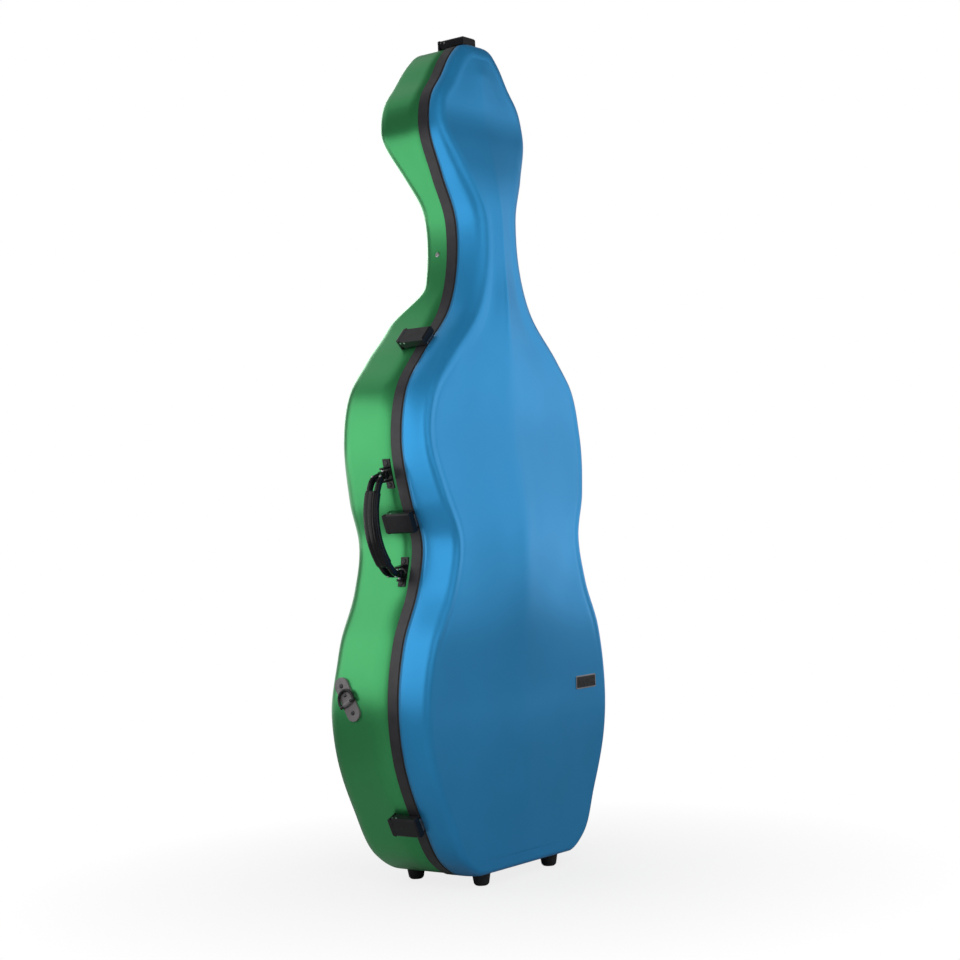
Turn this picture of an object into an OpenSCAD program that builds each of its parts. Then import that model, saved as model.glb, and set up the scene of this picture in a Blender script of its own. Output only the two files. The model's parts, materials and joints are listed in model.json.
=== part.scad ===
// Hard case for a cello, closed and standing on its feet. The lid faces -Y,
// the base shell faces +Y, latches and handle are on the -X side, hinges on +X.
// The floor is z = 0 and x = 0 is the plane of symmetry of both shells.

/* [Outline] */
// Height of the outline's top edge above the floor
case_h = 1322; // [1290:1:1360]
// Height of the flat bottom edge above the floor
foot_h = 18; // [14:1:26]
// Width of the flat bottom edge
bottom_w = 236; // [210:1:260]
// Width across the lower bout
lower_w = 495; // [470:1:520]
// Height of the widest place of the lower bout
lower_z = 275; // [260:1:290]
// Width across the waist
waist_w = 347; // [330:1:365]
// Height of the narrowest place of the waist
waist_z = 538; // [528:1:550]
// Width across the upper bout
upper_w = 424; // [405:1:440]
// Height of the widest place of the upper bout
upper_z = 698; // [688:1:710]
// Width across the neck
neck_w = 110; // [104:1:120]
// Height of the narrowest place of the neck
neck_z = 995; // [985:1:1005]
// Width across the head
head_w = 225; // [210:1:240]
// Height of the widest place of the head
head_z = 1190; // [1180:1:1200]

/* [Shells] */
// Wall of both shells
wall = 3; // [2.5:0.1:4]
// Depth of the base from the seam at the lower bout
base_lower_d = 156; // [148:1:165]
// Depth of the base at the waist
base_waist_d = 149; // [140:1:158]
// Depth of the base at the upper bout
base_upper_d = 137; // [130:1:146]
// Depth of the base at the neck
base_neck_d = 75; // [70:1:82]
// Depth of the base at the head
base_head_d = 112; // [104:1:120]
// Radius of the base's long back edge
back_r = 38; // [30:1:42]
// Radius of the back edge at the neck and head
neck_back_r = 28; // [22:1:32]
// Depth of the lid's side wall at the lower bout
lid_lower_d = 51; // [46:1:56]
// Depth of the lid's side wall at the waist
lid_waist_d = 62; // [56:1:68]
// Depth of the lid's side wall at the upper bout
lid_upper_d = 45; // [40:1:50]
// Depth of the lid's side wall at the neck
lid_neck_d = 50; // [45:1:55]
// Depth of the lid's side wall at the head
lid_head_d = 22; // [20:1:30]
// How far the lid's crease lies inside the seam
lid_draft = 13; // [8:1:16]
// How far the crease lies inside the seam at the bottom edge
lid_bottom_draft = 3; // [2:1:6]
// Height of the lid's middle ridge over its crease at the bridge
ridge_h = 12; // [6:1:20]
// Soft radius of the lid's crease
crease_r = 9; // [6:1:12]

/* [Rims and seal] */
// Height of the base's edge band
band_h = 19; // [16:1:24]
// Thickness of the rim profiles
rim_t = 1.6; // [1.2:0.1:2]
// Thickness of the rubber seal in the seam
seal_t = 2; // [1.5:0.1:3]
// Width of the rim's inward web
web_w = 9.4; // [8.5:0.1:11]
// Clearance between the lid's locating tongue and the base rim
tongue_gap = 0.6; // [0.4:0.1:1]
// Reach of the locating tongue into the base
tongue_h = 7; // [5:1:10]

/* [Lining and pads] */
// Thickness of the plush lining
lining_t = 4; // [3:0.5:6]
// Clearance of soft pieces
soft_gap = 0.3; // [0.2:0.1:0.5]
// Length of the neck cradle
cradle_len = 60; // [45:1:70]
// Width of the notch in the neck cradle
notch_w = 46; // [36:1:52]
// Width of the foam block under the instrument's lower end
block_w = 190; // [150:1:200]
// Height of that block
block_h = 46; // [43:1:60]
// Width of the end pin's slot in that block
pin_slot_w = 40; // [30:1:50]
// Thickness of the bout pads
pad_t = 22; // [15:1:28]

/* [Hinges] */
// Length of a hinge
hinge_len = 62; // [50:1:72]
// Radius of a hinge knuckle
knuckle_r = 4; // [3.5:0.1:4.3]
// Radius of a hinge pin
hinge_pin_r = 1.5; // [1.2:0.1:2]
// Thickness of a hinge leaf
leaf_t = 2; // [1.6:0.1:2.4]
// Distance of the hinge axis from the rims at its two nearest places
hinge_gap = 4.7; // [4.5:0.1:6]
// Running clearance round every pin
run_gap = 0.05; // [0.02:0.01:0.08]

/* [Latches] */
// Width of a latch
latch_w = 32; // [30:1:36]
// Length of a latch from the lid's edge
latch_len = 54; // [53:1:60]
// Height of a latch over the band
latch_h = 15.6; // [15:0.2:18]
// Sheet thickness of the lever cover
lever_t = 1.8; // [1.4:0.1:2]
// Radius of the bail wire
wire_r = 1.25; // [1:0.05:1.4]
// Radius of a lever's pivot pin
pivot_r = 1.6; // [1.3:0.1:2]

/* [Handle and rings] */
// Height of the handle's lower bracket
handle_low_z = 494; // [490:1:500]
// Height of the handle's upper bracket
handle_high_z = 645; // [638:1:652]
// Distance of the handle's brackets from the seam
handle_y = 32; // [31:1:36]
// Height of the handle's axis over the line between its brackets
handle_axis_h = 12; // [11:0.5:14]
// Reach of the grip's middle from that axis
handle_reach = 44; // [38:1:50]
// Width of the grip
grip_w = 24; // [20:1:26]
// Thickness of the grip
grip_t = 16; // [13:1:18]
// Length of a strap ring's plate
plate_len = 74; // [68:1:80]
// Width of a strap ring's plate
plate_w = 26; // [24:1:28]
// Thickness of the ring's wire
ring_wire = 4.4; // [3.6:0.2:5]

/* [Hidden] */

// Colours, as the finishes look in daylight
green = [0.29, 0.66, 0.40];
blue = [0.23, 0.57, 0.79];
band_grey = [0.30, 0.29, 0.31];
black = [0.08, 0.08, 0.09];
plush = [0.16, 0.17, 0.20];
foam = [0.23, 0.24, 0.27];
steel = [0.72, 0.72, 0.74];
plate_grey = [0.42, 0.40, 0.41];

// The seam plane, set so that the part's box is centred on y = 0
lid_reach = lid_waist_d + ridge_h;
seam_y = (lid_reach - base_lower_d) / 2;

// Curves in the plane of the seam, as [half width, height] points
function mix(a, b, t) = a + (b - a) * t;
function ease(t) = let(u = max(0, min(1, t))) u * u * (3 - 2 * u);
function unit(v) = v / norm(v);
// A knot between two stations, at shares of their widths and of their heights
function knot(a, b, tw, tz) = [mix(a.x, b.x, tw), mix(a.y, b.y, tz)];

bottom_at = [bottom_w / 2, foot_h];
lower_at = [lower_w / 2, lower_z];
waist_at = [waist_w / 2, waist_z];
upper_at = [upper_w / 2, upper_z];
neck_at = [neck_w / 2, neck_z];
head_at = [head_w / 2, head_z];
top_at = [0, case_h];
crown_at = knot(head_at, top_at, 0.53, 0.835);

// The right half of the outline from the bottom corner up to the crown
side_knots = [bottom_at,
    knot(bottom_at, lower_at, 0.31, 0.086),
    knot(bottom_at, lower_at, 0.68, 0.397),
    knot(bottom_at, lower_at, 0.942, 0.747),
    lower_at,
    knot(lower_at, waist_at, 0.264, 0.43),
    knot(lower_at, waist_at, 0.804, 0.741),
    waist_at,
    knot(waist_at, upper_at, 0.545, 0.388),
    upper_at,
    knot(upper_at, neck_at, 0.13, 0.276),
    knot(upper_at, neck_at, 0.395, 0.444),
    knot(upper_at, neck_at, 0.84, 0.7),
    neck_at,
    knot(neck_at, head_at, 0.026, 0.25),
    knot(neck_at, head_at, 0.53, 0.59),
    head_at,
    knot(head_at, top_at, 0.07, 0.30),
    knot(head_at, top_at, 0.31, 0.568),
    crown_at];
top_knots = [crown_at, knot(head_at, top_at, 0.72, 0.975), top_at];

// A smooth curve through knots, its spans split into steps of about one length
sample_step = 30;
function slope(a, b, c) = let(d = norm(b - a), e = norm(c - b))
    ((b - a) * e / d + (c - b) * d / e) / (d + e);
function span_point(a, b, ma, mb, t) = let(d = norm(b - a))
    (1 - 3 * t * t + 2 * t * t * t) * a + (t - 2 * t * t + t * t * t) * d * ma
    + (3 * t * t - 2 * t * t * t) * b + (t * t * t - t * t) * d * mb;
function curve(k, before, after, step) = [for (i = [0:len(k) - 2])
    let(a = k[i], b = k[i + 1], p = i == 0 ? before : k[i - 1],
        q = i == len(k) - 2 ? after : k[i + 2], n = max(1, round(norm(b - a) / step)))
    for (s = [0:n - 1]) span_point(a, b, slope(p, a, b), slope(a, b, q), s / n),
    k[len(k) - 1]];

side_line = curve(side_knots, bottom_at - [sample_step, 0], top_knots[1], sample_step);
top_line = curve(top_knots, side_knots[len(side_knots) - 2], [-top_knots[1].x, top_knots[1].y], 13);
rows = len(side_line) - 2;
columns = 2 * (len(top_line) - 1);

// The closed outline: bottom edge, right side, top, left side
outline = [
    for (m = [0:columns]) [mix(-bottom_at.x, bottom_at.x, m / columns), foot_h],
    for (j = [1:rows]) side_line[j],
    for (m = [0:columns / 2]) top_line[m],
    for (m = [columns / 2 - 1:-1:0]) [-top_line[m].x, top_line[m].y],
    for (j = [rows:-1:1]) [-side_line[j].x, side_line[j].y]];
count = len(outline);
outward = [for (i = [0:count - 1])
    let(d = outline[(i + 1) % count] - outline[(i + count - 1) % count]) unit([d.y, -d.x])];
function inset(d) = [for (i = [0:count - 1]) outline[i] - d * outward[i]];

// Half width of the outline at a height, its slope, and the frame of a place on the -X side
width_table = [for (p = side_line) [p.y, p.x]];
function half_w(z) = lookup(z, width_table);
function lean(z) = atan2(16, half_w(z - 8) - half_w(z + 8));
module on_left(z, y = 0) {
    translate([-half_w(z), y, z]) rotate([0, -lean(z), 0]) children();
}

// A value that eases from station to station along the height
function along(z, t, i = 0) = z <= t[0][0] ? t[0][1]
    : i >= len(t) - 1 ? t[len(t) - 1][1]
    : z <= t[i + 1][0] ? mix(t[i][1], t[i + 1][1], ease((z - t[i][0]) / (t[i + 1][0] - t[i][0])))
    : along(z, t, i + 1);
// Ends of the heel, measured down from the narrowest place of the neck
heel_low_drop = 110;
heel_high_drop = 48;
heel_low = neck_z - heel_low_drop;
heel_high = neck_z - heel_high_drop;
base_stations = [[lower_z, base_lower_d], [lower_z + 90, base_waist_d], [waist_z, base_waist_d],
    [upper_z, base_upper_d], [heel_low, base_upper_d], [heel_high, base_neck_d],
    [neck_z + 60, base_neck_d], [head_z, base_head_d], [head_z + 60, base_head_d],
    [case_h, base_head_d - 14]];
lid_stations = [[lower_z, lid_lower_d], [waist_z, lid_waist_d], [upper_z + 30, lid_upper_d],
    [heel_low, lid_neck_d], [neck_z + 20, lid_neck_d], [head_z + 40, lid_head_d]];
ridge_stations = [[lower_z, 4], [waist_z, ridge_h], [neck_z - 90, ridge_h * 0.6], [neck_z, 3]];
radius_stations = [[heel_low, back_r], [heel_high, neck_back_r], [head_z + 60, neck_back_r],
    [case_h, neck_back_r - 6]];
draft_stations = [[foot_h, lid_bottom_draft], [foot_h + 90, lid_draft]];
function base_d(z) = along(z, base_stations);
function lid_d(z) = along(z, lid_stations);
function edge_r(z) = along(z, radius_stations);
function draft(z) = along(z, draft_stations);

// A ring of points round the outline at one level of a wall
function ring(insets, depths) = [for (i = [0:count - 1])
    [outline[i].x - insets[i] * outward[i].x, depths[i], outline[i].y - insets[i] * outward[i].y]];
function every(f) = [for (i = [0:count - 1]) f(outline[i].y)];

// Rings of the base, t inside its outer skin, from the open edge y0 to the back
shell_in = rim_t;
function base_rings(t, y0, steps) = [
    ring(every(function(z) shell_in + t), every(function(z) y0)),
    for (s = [0:steps]) let(a = 90 * s / steps)
        ring(every(function(z) shell_in + t + (edge_r(z) - t) * (1 - cos(a))),
            every(function(z) base_d(z) - edge_r(z) + (edge_r(z) - t) * sin(a)))];
// Rings of the lid, t inside its outer skin, from the open edge to the crease
lid_straight = 16;
crease_share = 0.8;
function straight(z) = min(lid_straight, lid_d(z) * 0.4);
function lid_inset(y, z) = draft(z) * crease_share
    * max(0, y - straight(z)) / (lid_d(z) - crease_r - straight(z));
function lid_mid(y0, z) = y0 < straight(z) - 0.5 ? straight(z) : (y0 + lid_d(z) - crease_r) / 2;
function lid_rings(t, y0) = [
    ring(every(function(z) t + lid_inset(y0, z)), every(function(z) -y0)),
    ring(every(function(z) t + lid_inset(lid_mid(y0, z), z)), every(function(z) -lid_mid(y0, z))),
    ring(every(function(z) t + draft(z) * crease_share), every(function(z) crease_r - lid_d(z))),
    ring(every(function(z) t + draft(z)), every(function(z) max(t, crease_r * 0.28) - lid_d(z))),
    ring(every(function(z) t + draft(z) + crease_r * 0.62), every(function(z) t - lid_d(z)))];

// Places of a face's grid: row 0 is the bottom edge, the last row is the top
function edge_index(j, m) = j == 0 ? m
    : j == rows + 1 ? columns + 1 + rows + columns - m
    : m == columns ? columns + j
    : 2 * columns + 2 + 2 * rows - j;
function band_faces(a, b, flip) = [for (i = [0:count - 1]) let(n = (i + 1) % count)
    each flip ? [[a + i, b + n, a + n], [a + i, b + i, b + n]]
    : [[a + i, a + n, b + n], [a + i, b + n, b + i]]];
function strip_faces(a, flip) = let(tri = [
    for (m = [0:columns - 1]) [a + m, a + m + 1, a + edge_index(1, 0)],
    [a + columns, a + edge_index(1, columns), a + edge_index(1, 0)],
    for (j = [1:rows - 1]) each [
        [a + edge_index(j, 0), a + edge_index(j, columns), a + edge_index(j + 1, columns)],
        [a + edge_index(j, 0), a + edge_index(j + 1, columns), a + edge_index(j + 1, 0)]],
    [a + edge_index(rows, 0), a + edge_index(rows, columns), a + edge_index(rows + 1, columns)],
    for (m = [0:columns - 1])
        [a + edge_index(rows, 0), a + edge_index(rows + 1, m + 1), a + edge_index(rows + 1, m)]])
    [for (f = tri) flip ? [f[0], f[2], f[1]] : f];
function grid_index(a, g, j, m) = j == 0 || j == rows + 1 || m == 0 || m == columns
    ? a + edge_index(j, m) : g + (j - 1) * (columns - 1) + m - 1;
function grid_faces(a, g, flip) = [for (j = [0:rows], m = [0:columns - 1])
    let(p = grid_index(a, g, j, m), q = grid_index(a, g, j, m + 1),
        r = grid_index(a, g, j + 1, m + 1), s = grid_index(a, g, j + 1, m))
    each flip ? [[p, r, q], [p, s, r]] : [[p, q, r], [p, r, s]]];

// Inner points of the lid's crowned face, raised in the middle by the ridge
function lid_crown(u, z) = let(h = along(z, ridge_stations))
    h * (1 - ease(abs(u) / 1.05)) * ease((z - foot_h) / 120);
function crown_points(edge) = [for (j = [1:rows], m = [1:columns - 1])
    let(a = edge[edge_index(j, 0)], b = edge[edge_index(j, columns)], t = m / columns)
    [mix(a.x, b.x, t), mix(a.y, b.y, t) - lid_crown(2 * t - 1, a.z), mix(a.z, b.z, t)]];

// A tray with an outer and an inner skin; back is true for the base, which opens to -Y
module tray(outer, inner, back, crowned = false) {
    outer_last = (len(outer) - 1) * count;
    grid = crowned ? crown_points(outer[len(outer) - 1]) : [];
    inner_grid = crowned ? crown_points(inner[len(inner) - 1]) : [];
    grid_at = len(outer) * count;
    inner_at = grid_at + len(grid);
    inner_last = inner_at + (len(inner) - 1) * count;
    points = concat([for (r = outer) each r], grid, [for (r = inner) each r], inner_grid);
    faces = concat(
        [for (k = [0:len(outer) - 2]) each band_faces(k * count, (k + 1) * count, !back)],
        crowned ? grid_faces(outer_last, grid_at, !back) : strip_faces(outer_last, !back),
        [for (k = [0:len(inner) - 2])
            each band_faces(inner_at + k * count, inner_at + (k + 1) * count, back)],
        crowned ? grid_faces(inner_last, inner_last + count, back) : strip_faces(inner_last, back),
        band_faces(0, inner_at, back));
    polyhedron(points, faces, 10);
}

// The prism of the outline, grown or shrunk, between two values of y
module prism(d, y0, y1) {
    translate([0, y1, 0]) rotate([90, 0, 0]) linear_extrude(y1 - y0) polygon(inset(d));
}
// A closed band that follows the outline between two insets and two values of y
module hoop(d0, d1, y0, y1) {
    translate([0, y1, 0]) rotate([90, 0, 0]) linear_extrude(y1 - y0) difference() {
        polygon(inset(d0));
        polygon(inset(d1));
    }
}
module seam() {
    translate([0, seam_y, 0]) children();
}

// Levels of the seam, as distances from the seam plane
seal_base = 0.8;
seal_lid = seal_t - seal_base;
lid_edge = seal_lid + rim_t;
base_edge = seal_base + rim_t;
leg_h = 14;
lid_leg = lid_edge + 5.2;
seal_out = 0.8;
seal_in = web_w - 0.8;
tongue_out = web_w + tongue_gap;
inside = wall + soft_gap;

module base_shell() {
    color(green) seam() tray(base_rings(0, base_edge, 5), base_rings(wall, base_edge, 4), true);
}
module lid_shell() {
    color(blue) seam() tray(lid_rings(0, lid_edge), lid_rings(wall, lid_edge), false, true);
}
// The base's edge profile: the grey band outside, a web on the seam and a leg inside the shell
module base_rim() {
    color(band_grey) seam() {
        hoop(0, rim_t, seal_base, seal_base + band_h);
        hoop(0, web_w, seal_base, base_edge);
        hoop(rim_t + wall, rim_t * 2 + wall, seal_base, leg_h);
    }
}
// The lid's edge profile, with the tongue that drops inside the base rim
module lid_rim() {
    color(black) seam() {
        hoop(0, tongue_out + rim_t, -lid_edge, -seal_lid);
        hoop(wall, wall + rim_t, -lid_leg, -seal_lid);
        hoop(tongue_out, tongue_out + rim_t, -lid_leg, tongue_h);
    }
}
// The rubber seal lies on the base rim and leaves room for the catches
module seal_gasket() {
    color(black) seam() difference() {
        hoop(seal_out, seal_in, -seal_lid, seal_base);
        for (p = latch_places) at_latch(p) translate([-catch_w / 2 - 0.5, -seal_t, -web_w - 4])
            cube([catch_w + 1, seal_t * 2, web_w + 8]);
    }
}
module base_lining() {
    color(plush) seam() tray(base_rings(inside, leg_h + soft_gap, 4),
        base_rings(inside + lining_t, leg_h + soft_gap, 4), true);
}
module lid_lining() {
    color(plush) seam() tray(lid_rings(inside, lid_leg + soft_gap),
        lid_rings(inside + lining_t, lid_leg + soft_gap), false);
}

// A rounded rectangle drawn with squares and circles
module round_rect(w, h, r) {
    translate([-w / 2 + r, -h / 2]) square([w - 2 * r, h]);
    translate([-w / 2, -h / 2 + r]) square([w, h - 2 * r]);
    for (x = [-1, 1], y = [-1, 1]) translate([x * (w / 2 - r), y * (h / 2 - r)]) circle(r, $fn = 32);
}

// Foam that holds the neck: a block across the neck with a round-bottomed notch
lined = inside + lining_t + soft_gap;
cradle_z = neck_z - 12;
cradle_half = min([for (z = [cradle_z - cradle_len / 2 : 6 : cradle_z + cradle_len / 2]) half_w(z)])
    - shell_in - lined;
cradle_back = base_neck_d - lined;
cradle_front = leg_h + 2;
cradle_corner = neck_back_r - 6;
notch_y = cradle_back - 18 - notch_w / 2;
module neck_cradle() {
    color(foam) seam() translate([0, 0, cradle_z - cradle_len / 2]) linear_extrude(cradle_len)
        difference() {
            union() {
                translate([-cradle_half, cradle_front])
                    square([2 * cradle_half, cradle_back - cradle_corner - cradle_front]);
                translate([-cradle_half + cradle_corner, cradle_front])
                    square([2 * (cradle_half - cradle_corner), cradle_back - cradle_front]);
                for (s = [-1, 1])
                    translate([s * (cradle_half - cradle_corner), cradle_back - cradle_corner])
                        circle(cradle_corner, $fn = 48);
            }
            translate([0, notch_y]) circle(notch_w / 2, $fn = 48);
            translate([-notch_w / 2, cradle_front - 1]) square([notch_w, notch_y - cradle_front + 1]);
        }
}
// Hook-and-loop strap that closes the notch
strap_w = 30;
strap_t = 2;
module neck_strap() {
    color(black) seam() translate([0, cradle_front - soft_gap, cradle_z]) rotate([90, 0, 0])
        linear_extrude(strap_t) round_rect(2 * cradle_half - 4, strap_w, 6);
}
// Foam block under the instrument's lower end, slotted for the end pin
floor_z = foot_h + shell_in + lined;
block_front = 34;
block_corner = back_r;
module lower_block() {
    back = base_lower_d - lined;
    color(foam) seam() difference() {
        translate([-block_w / 2, 0, floor_z]) rotate([90, 0, 90]) linear_extrude(block_w) union() {
            translate([block_front, 0]) square([back - block_corner - block_front, block_h]);
            translate([block_front, block_corner]) square([back - block_front, block_h - block_corner]);
            intersection() {
                translate([back - block_corner, block_corner]) circle(block_corner, $fn = 64);
                square([back, block_h]);
            }
        }
        translate([0, 0, floor_z - 1]) linear_extrude(block_h + 2) {
            translate([0, block_front + 52]) circle(pin_slot_w / 2, $fn = 48);
            translate([-pin_slot_w / 2, block_front - 1]) square([pin_slot_w, 53]);
        }
    }
}
// Cushions on the back wall, under the shoulders and the lower corners of the instrument
pad_w = 84;
pad_h = 108;
pad_corner = 20;
pad_step = 7;
pad_places = [[-116, 205], [116, 205], [-104, upper_z + 12], [104, upper_z + 12]];
module bout_pads() {
    color(foam) seam() for (p = pad_places)
        translate([p.x, base_d(p.y) - lined, p.y]) rotate([90, 0, 0]) {
            linear_extrude(pad_t * 0.6) round_rect(pad_w, pad_h, pad_corner);
            translate([0, 0, pad_t * 0.6]) linear_extrude(pad_t * 0.4)
                round_rect(pad_w - 2 * pad_step, pad_h - 2 * pad_step, pad_corner - 4);
        }
}

// Tapered rubber feet, two under each shell
foot_r = 15;
foot_x = 90;
foot_taper = 3;
foot_round = 3;
module foot(h) {
    rotate_extrude($fn = 64) {
        polygon([[0, 0], [foot_r - foot_taper - foot_round, 0], [foot_r - foot_taper, foot_round],
            [foot_r, h], [0, h]]);
    }
}
base_foot_y = base_lower_d - back_r - 8;
lid_foot_y = -22;
module base_feet() {
    color(black) seam() for (s = [-1, 1])
        translate([s * foot_x, base_foot_y, 0]) foot(foot_h + shell_in);
}
// The lid's feet end on its bottom face, which rises a little away from the seam
module lid_feet() {
    low = -straight(foot_h);
    high = crease_r - lid_d(foot_h);
    rise = draft(foot_h) * crease_share;
    color(black) seam() difference() {
        for (s = [-1, 1]) translate([s * foot_x, lid_foot_y, 0]) foot(foot_h + rise);
        translate([-2 * foot_x, 0, foot_h]) rotate([90, 0, 90]) linear_extrude(4 * foot_x)
            polygon([[0, 0], [low, 0], [high, rise], [high, 2 * rise], [0, 2 * rise]]);
    }
}

// Hinges: one straight axis that leans with the rims, close to both bouts
axis_low_z = lower_z + 32;
axis_high_z = upper_z + 5;
axis_low_x = half_w(axis_low_z) + hinge_gap;
axis_high_x = half_w(axis_high_z) + hinge_gap;
axis_lean = atan2(axis_low_x - axis_high_x, axis_high_z - axis_low_z);
function axis_x(z) = axis_low_x - (z - axis_low_z) * tan(axis_lean);
hinge_places = [lower_z - 13, lower_z + 69, upper_z + 5];
knuckle_len = hinge_len / 3;
knuckle_gap = 0.3;
module on_axis(z) {
    translate([axis_x(z), 0, z]) rotate([0, -axis_lean, 0]) children();
}
module bar(z, from, to, r) {
    on_axis(z) translate([0, 0, from]) cylinder(h = to - from, r = r, $fn = 48);
}
// A knuckle and the tab between two values of y that joins it to its leaf
module knuckle(z, from, to, y0, y1, hole) {
    reach = axis_x(z) - half_w(z) + 14;
    difference() {
        union() {
            bar(z, from, to, knuckle_r);
            on_axis(z) translate([-reach, y0, from]) cube([reach, y1 - y0, to - from]);
        }
        bar(z, from - 1, to + 1, hole);
        prism(0, y0 - 10, y1 + 10);
    }
}
// A leaf on the rim, cut away round the other leaf's knuckles
module leaf_plate(z, y0, y1) {
    intersection() {
        hoop(-leaf_t, 0, y0, y1);
        translate([half_w(z) - 20, y0 - 1, z - hinge_len / 2]) cube([60, y1 - y0 + 2, hinge_len]);
    }
}
base_leaf_y = seal_base + 0.4;
lid_leaf_y = -seal_lid - 0.4;
module hinge_base_leaf(z) {
    color(plate_grey) seam() {
        difference() {
            leaf_plate(z, base_leaf_y, band_h - 1);
            bar(z, -knuckle_len / 2 - knuckle_gap, knuckle_len / 2 + knuckle_gap, knuckle_r + knuckle_gap);
        }
        for (m = [0, 1]) knuckle(z, m == 0 ? -hinge_len / 2 : knuckle_len / 2 + knuckle_gap,
            m == 0 ? -knuckle_len / 2 - knuckle_gap : hinge_len / 2, base_leaf_y, knuckle_r, hinge_pin_r);
    }
}
module hinge_lid_leaf(z) {
    color(plate_grey) seam() {
        difference() {
            leaf_plate(z, -lid_straight, lid_leaf_y);
            for (m = [0, 1]) bar(z, m == 0 ? -hinge_len : knuckle_len / 2,
                m == 0 ? -knuckle_len / 2 : hinge_len, knuckle_r + knuckle_gap);
        }
        knuckle(z, -knuckle_len / 2, knuckle_len / 2, -knuckle_r, lid_leaf_y, hinge_pin_r + run_gap);
    }
}
module hinge_pin(z) {
    color(steel) seam() {
        bar(z, -hinge_len / 2, hinge_len / 2, hinge_pin_r);
        bar(z, -hinge_len / 2 - 1, -hinge_len / 2, hinge_pin_r + 1);
        bar(z, hinge_len / 2, hinge_len / 2 + 1, hinge_pin_r + 1);
    }
}

// Latches, each drawn lying on its back: x along the outline, y away from the lid, z outward
latch_places = [["top", 0], ["shoulder", 850], ["waist", 573], ["lower", 111]];
module at_latch(p) {
    if (p[0] == "top") translate([0, 0, case_h]) children();
    else on_left(p[1]) children();
}
pivot_at = [36.5, 11.2];
toggle_r = 7;
toggle_rise = 0.7;
toggle_at = pivot_at + [toggle_r, toggle_rise];
hook_at = [3, 4.2];
cover_back = pivot_at.x + 8.6;
cover_front = -1.5;
skirt_low = 3.2;
skirt_in = latch_w / 2 - lever_t;
lobe_r = toggle_r + 3.2;
cap_front = pivot_at.x + lobe_r + 0.4;
cap_r = 7.5;
cap_edge = 2.8;
cheek_in = 9.6;
cheek_t = 1.5;
arm_s = cheek_in + cheek_t + wire_r + 0.25;
floor_t = 1.2;
cheek_r = latch_h - lever_t - pivot_at.y - 0.2;
catch_w = 20;
// A solid drawn from the side and made w wide about the middle of the latch
module across(w) {
    rotate([90, 0, 90]) translate([0, 0, -w / 2]) linear_extrude(w) children();
}
module latch_base(p) {
    color(black) seam() difference() {
        at_latch(p) difference() {
            union() {
                // Floor on the shell, up to the band
                translate([-cheek_in - cheek_t, band_h + 1.2, -6])
                    cube([2 * (cheek_in + cheek_t), cap_front - band_h, 6 + floor_t]);
                for (s = [-1, 1]) translate([s * (cheek_in + cheek_t / 2), 0, 0])
                    across(cheek_t) union() {
                        translate(pivot_at) circle(cheek_r, $fn = 48);
                        polygon([[pivot_at.x - 10, 0], [pivot_at.x - 2.5, 0],
                            pivot_at + [cheek_r - 0.2, -1], pivot_at + [0.2 - cheek_r, 1]]);
                    }
                // Rounded end of the housing, with a lip close behind the cover
                intersection() {
                    across(latch_w) union() {
                        polygon([[cap_front, -6], [latch_len, -6], [latch_len, latch_h - cap_edge],
                            [latch_len - cap_edge, latch_h], [cover_back + 0.4, latch_h],
                            [cover_back + 1.1, latch_h - lever_t], [cap_front, latch_h - lever_t]]);
                        translate([latch_len - cap_edge, latch_h - cap_edge]) circle(cap_edge, $fn = 48);
                    }
                    translate([0, cover_back, -7]) linear_extrude(latch_h + 14) union() {
                        translate([cap_r - latch_w / 2, 0])
                            square([latch_w - 2 * cap_r, latch_len - cover_back]);
                        translate([-latch_w / 2, 0]) square([latch_w, latch_len - cap_r - cover_back]);
                        for (s = [-1, 1])
                            translate([s * (latch_w / 2 - cap_r), latch_len - cap_r - cover_back])
                                circle(cap_r, $fn = 48);
                    }
                }
            }
            across(latch_w * 2) translate(pivot_at) circle(pivot_r, $fn = 48);
        }
        prism(shell_in, -10, latch_len + 40);
    }
}
module latch_pin(p) {
    color(steel) seam() at_latch(p) across(2 * (cheek_in + cheek_t) - 0.4)
        translate(pivot_at) circle(pivot_r, $fn = 48);
}
module latch_lever(p) {
    hub_w = 2 * (cheek_in - 0.3);
    color(black) seam() at_latch(p) difference() {
        union() {
            difference() {
                // Cover with sloped long edges, cut round behind the pivot so that it can swing
                intersection() {
                    translate([0, cover_back, 0]) rotate([90, 0, 0])
                        linear_extrude(cover_back - cover_front)
                            polygon([[-latch_w / 2, skirt_low], [latch_w / 2, skirt_low],
                                [latch_w / 2, latch_h - 2.2], [latch_w / 2 - 2.6, latch_h],
                                [2.6 - latch_w / 2, latch_h], [-latch_w / 2, latch_h - 2.2]]);
                    across(latch_w * 2) union() {
                        translate([cover_front, 0]) square([pivot_at.x - cover_front, latch_h]);
                        translate(pivot_at) circle(lobe_r, $fn = 64);
                    }
                }
                translate([-skirt_in, cover_front + lever_t, skirt_low - 1])
                    cube([2 * skirt_in, latch_len, latch_h - lever_t - skirt_low + 1]);
                // Sloped front edge
                across(latch_w * 2) polygon([[cover_front - 1, latch_h - 3], [cover_front - 1, latch_h + 1],
                    [cover_front + 3, latch_h + 1]]);
            }
            for (s = [-1, 1]) translate([s * (latch_w - lever_t) / 2, 0, 0]) across(lever_t)
                intersection() {
                    translate(pivot_at) circle(lobe_r, $fn = 64);
                    translate([0, 0]) square([latch_len, latch_h - 2.4]);
                }
            across(hub_w) union() {
                translate(pivot_at) circle(3.6, $fn = 48);
                translate([pivot_at.x - 3.6, pivot_at.y]) square([7.2, latch_h - lever_t / 2 - pivot_at.y]);
            }
        }
        across(2 * cheek_in) translate(pivot_at) circle(pivot_r + run_gap, $fn = 48);
        across(latch_w * 2) translate(toggle_at) circle(wire_r + run_gap, $fn = 48);
    }
}
wire_bend = 1.5;
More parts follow.
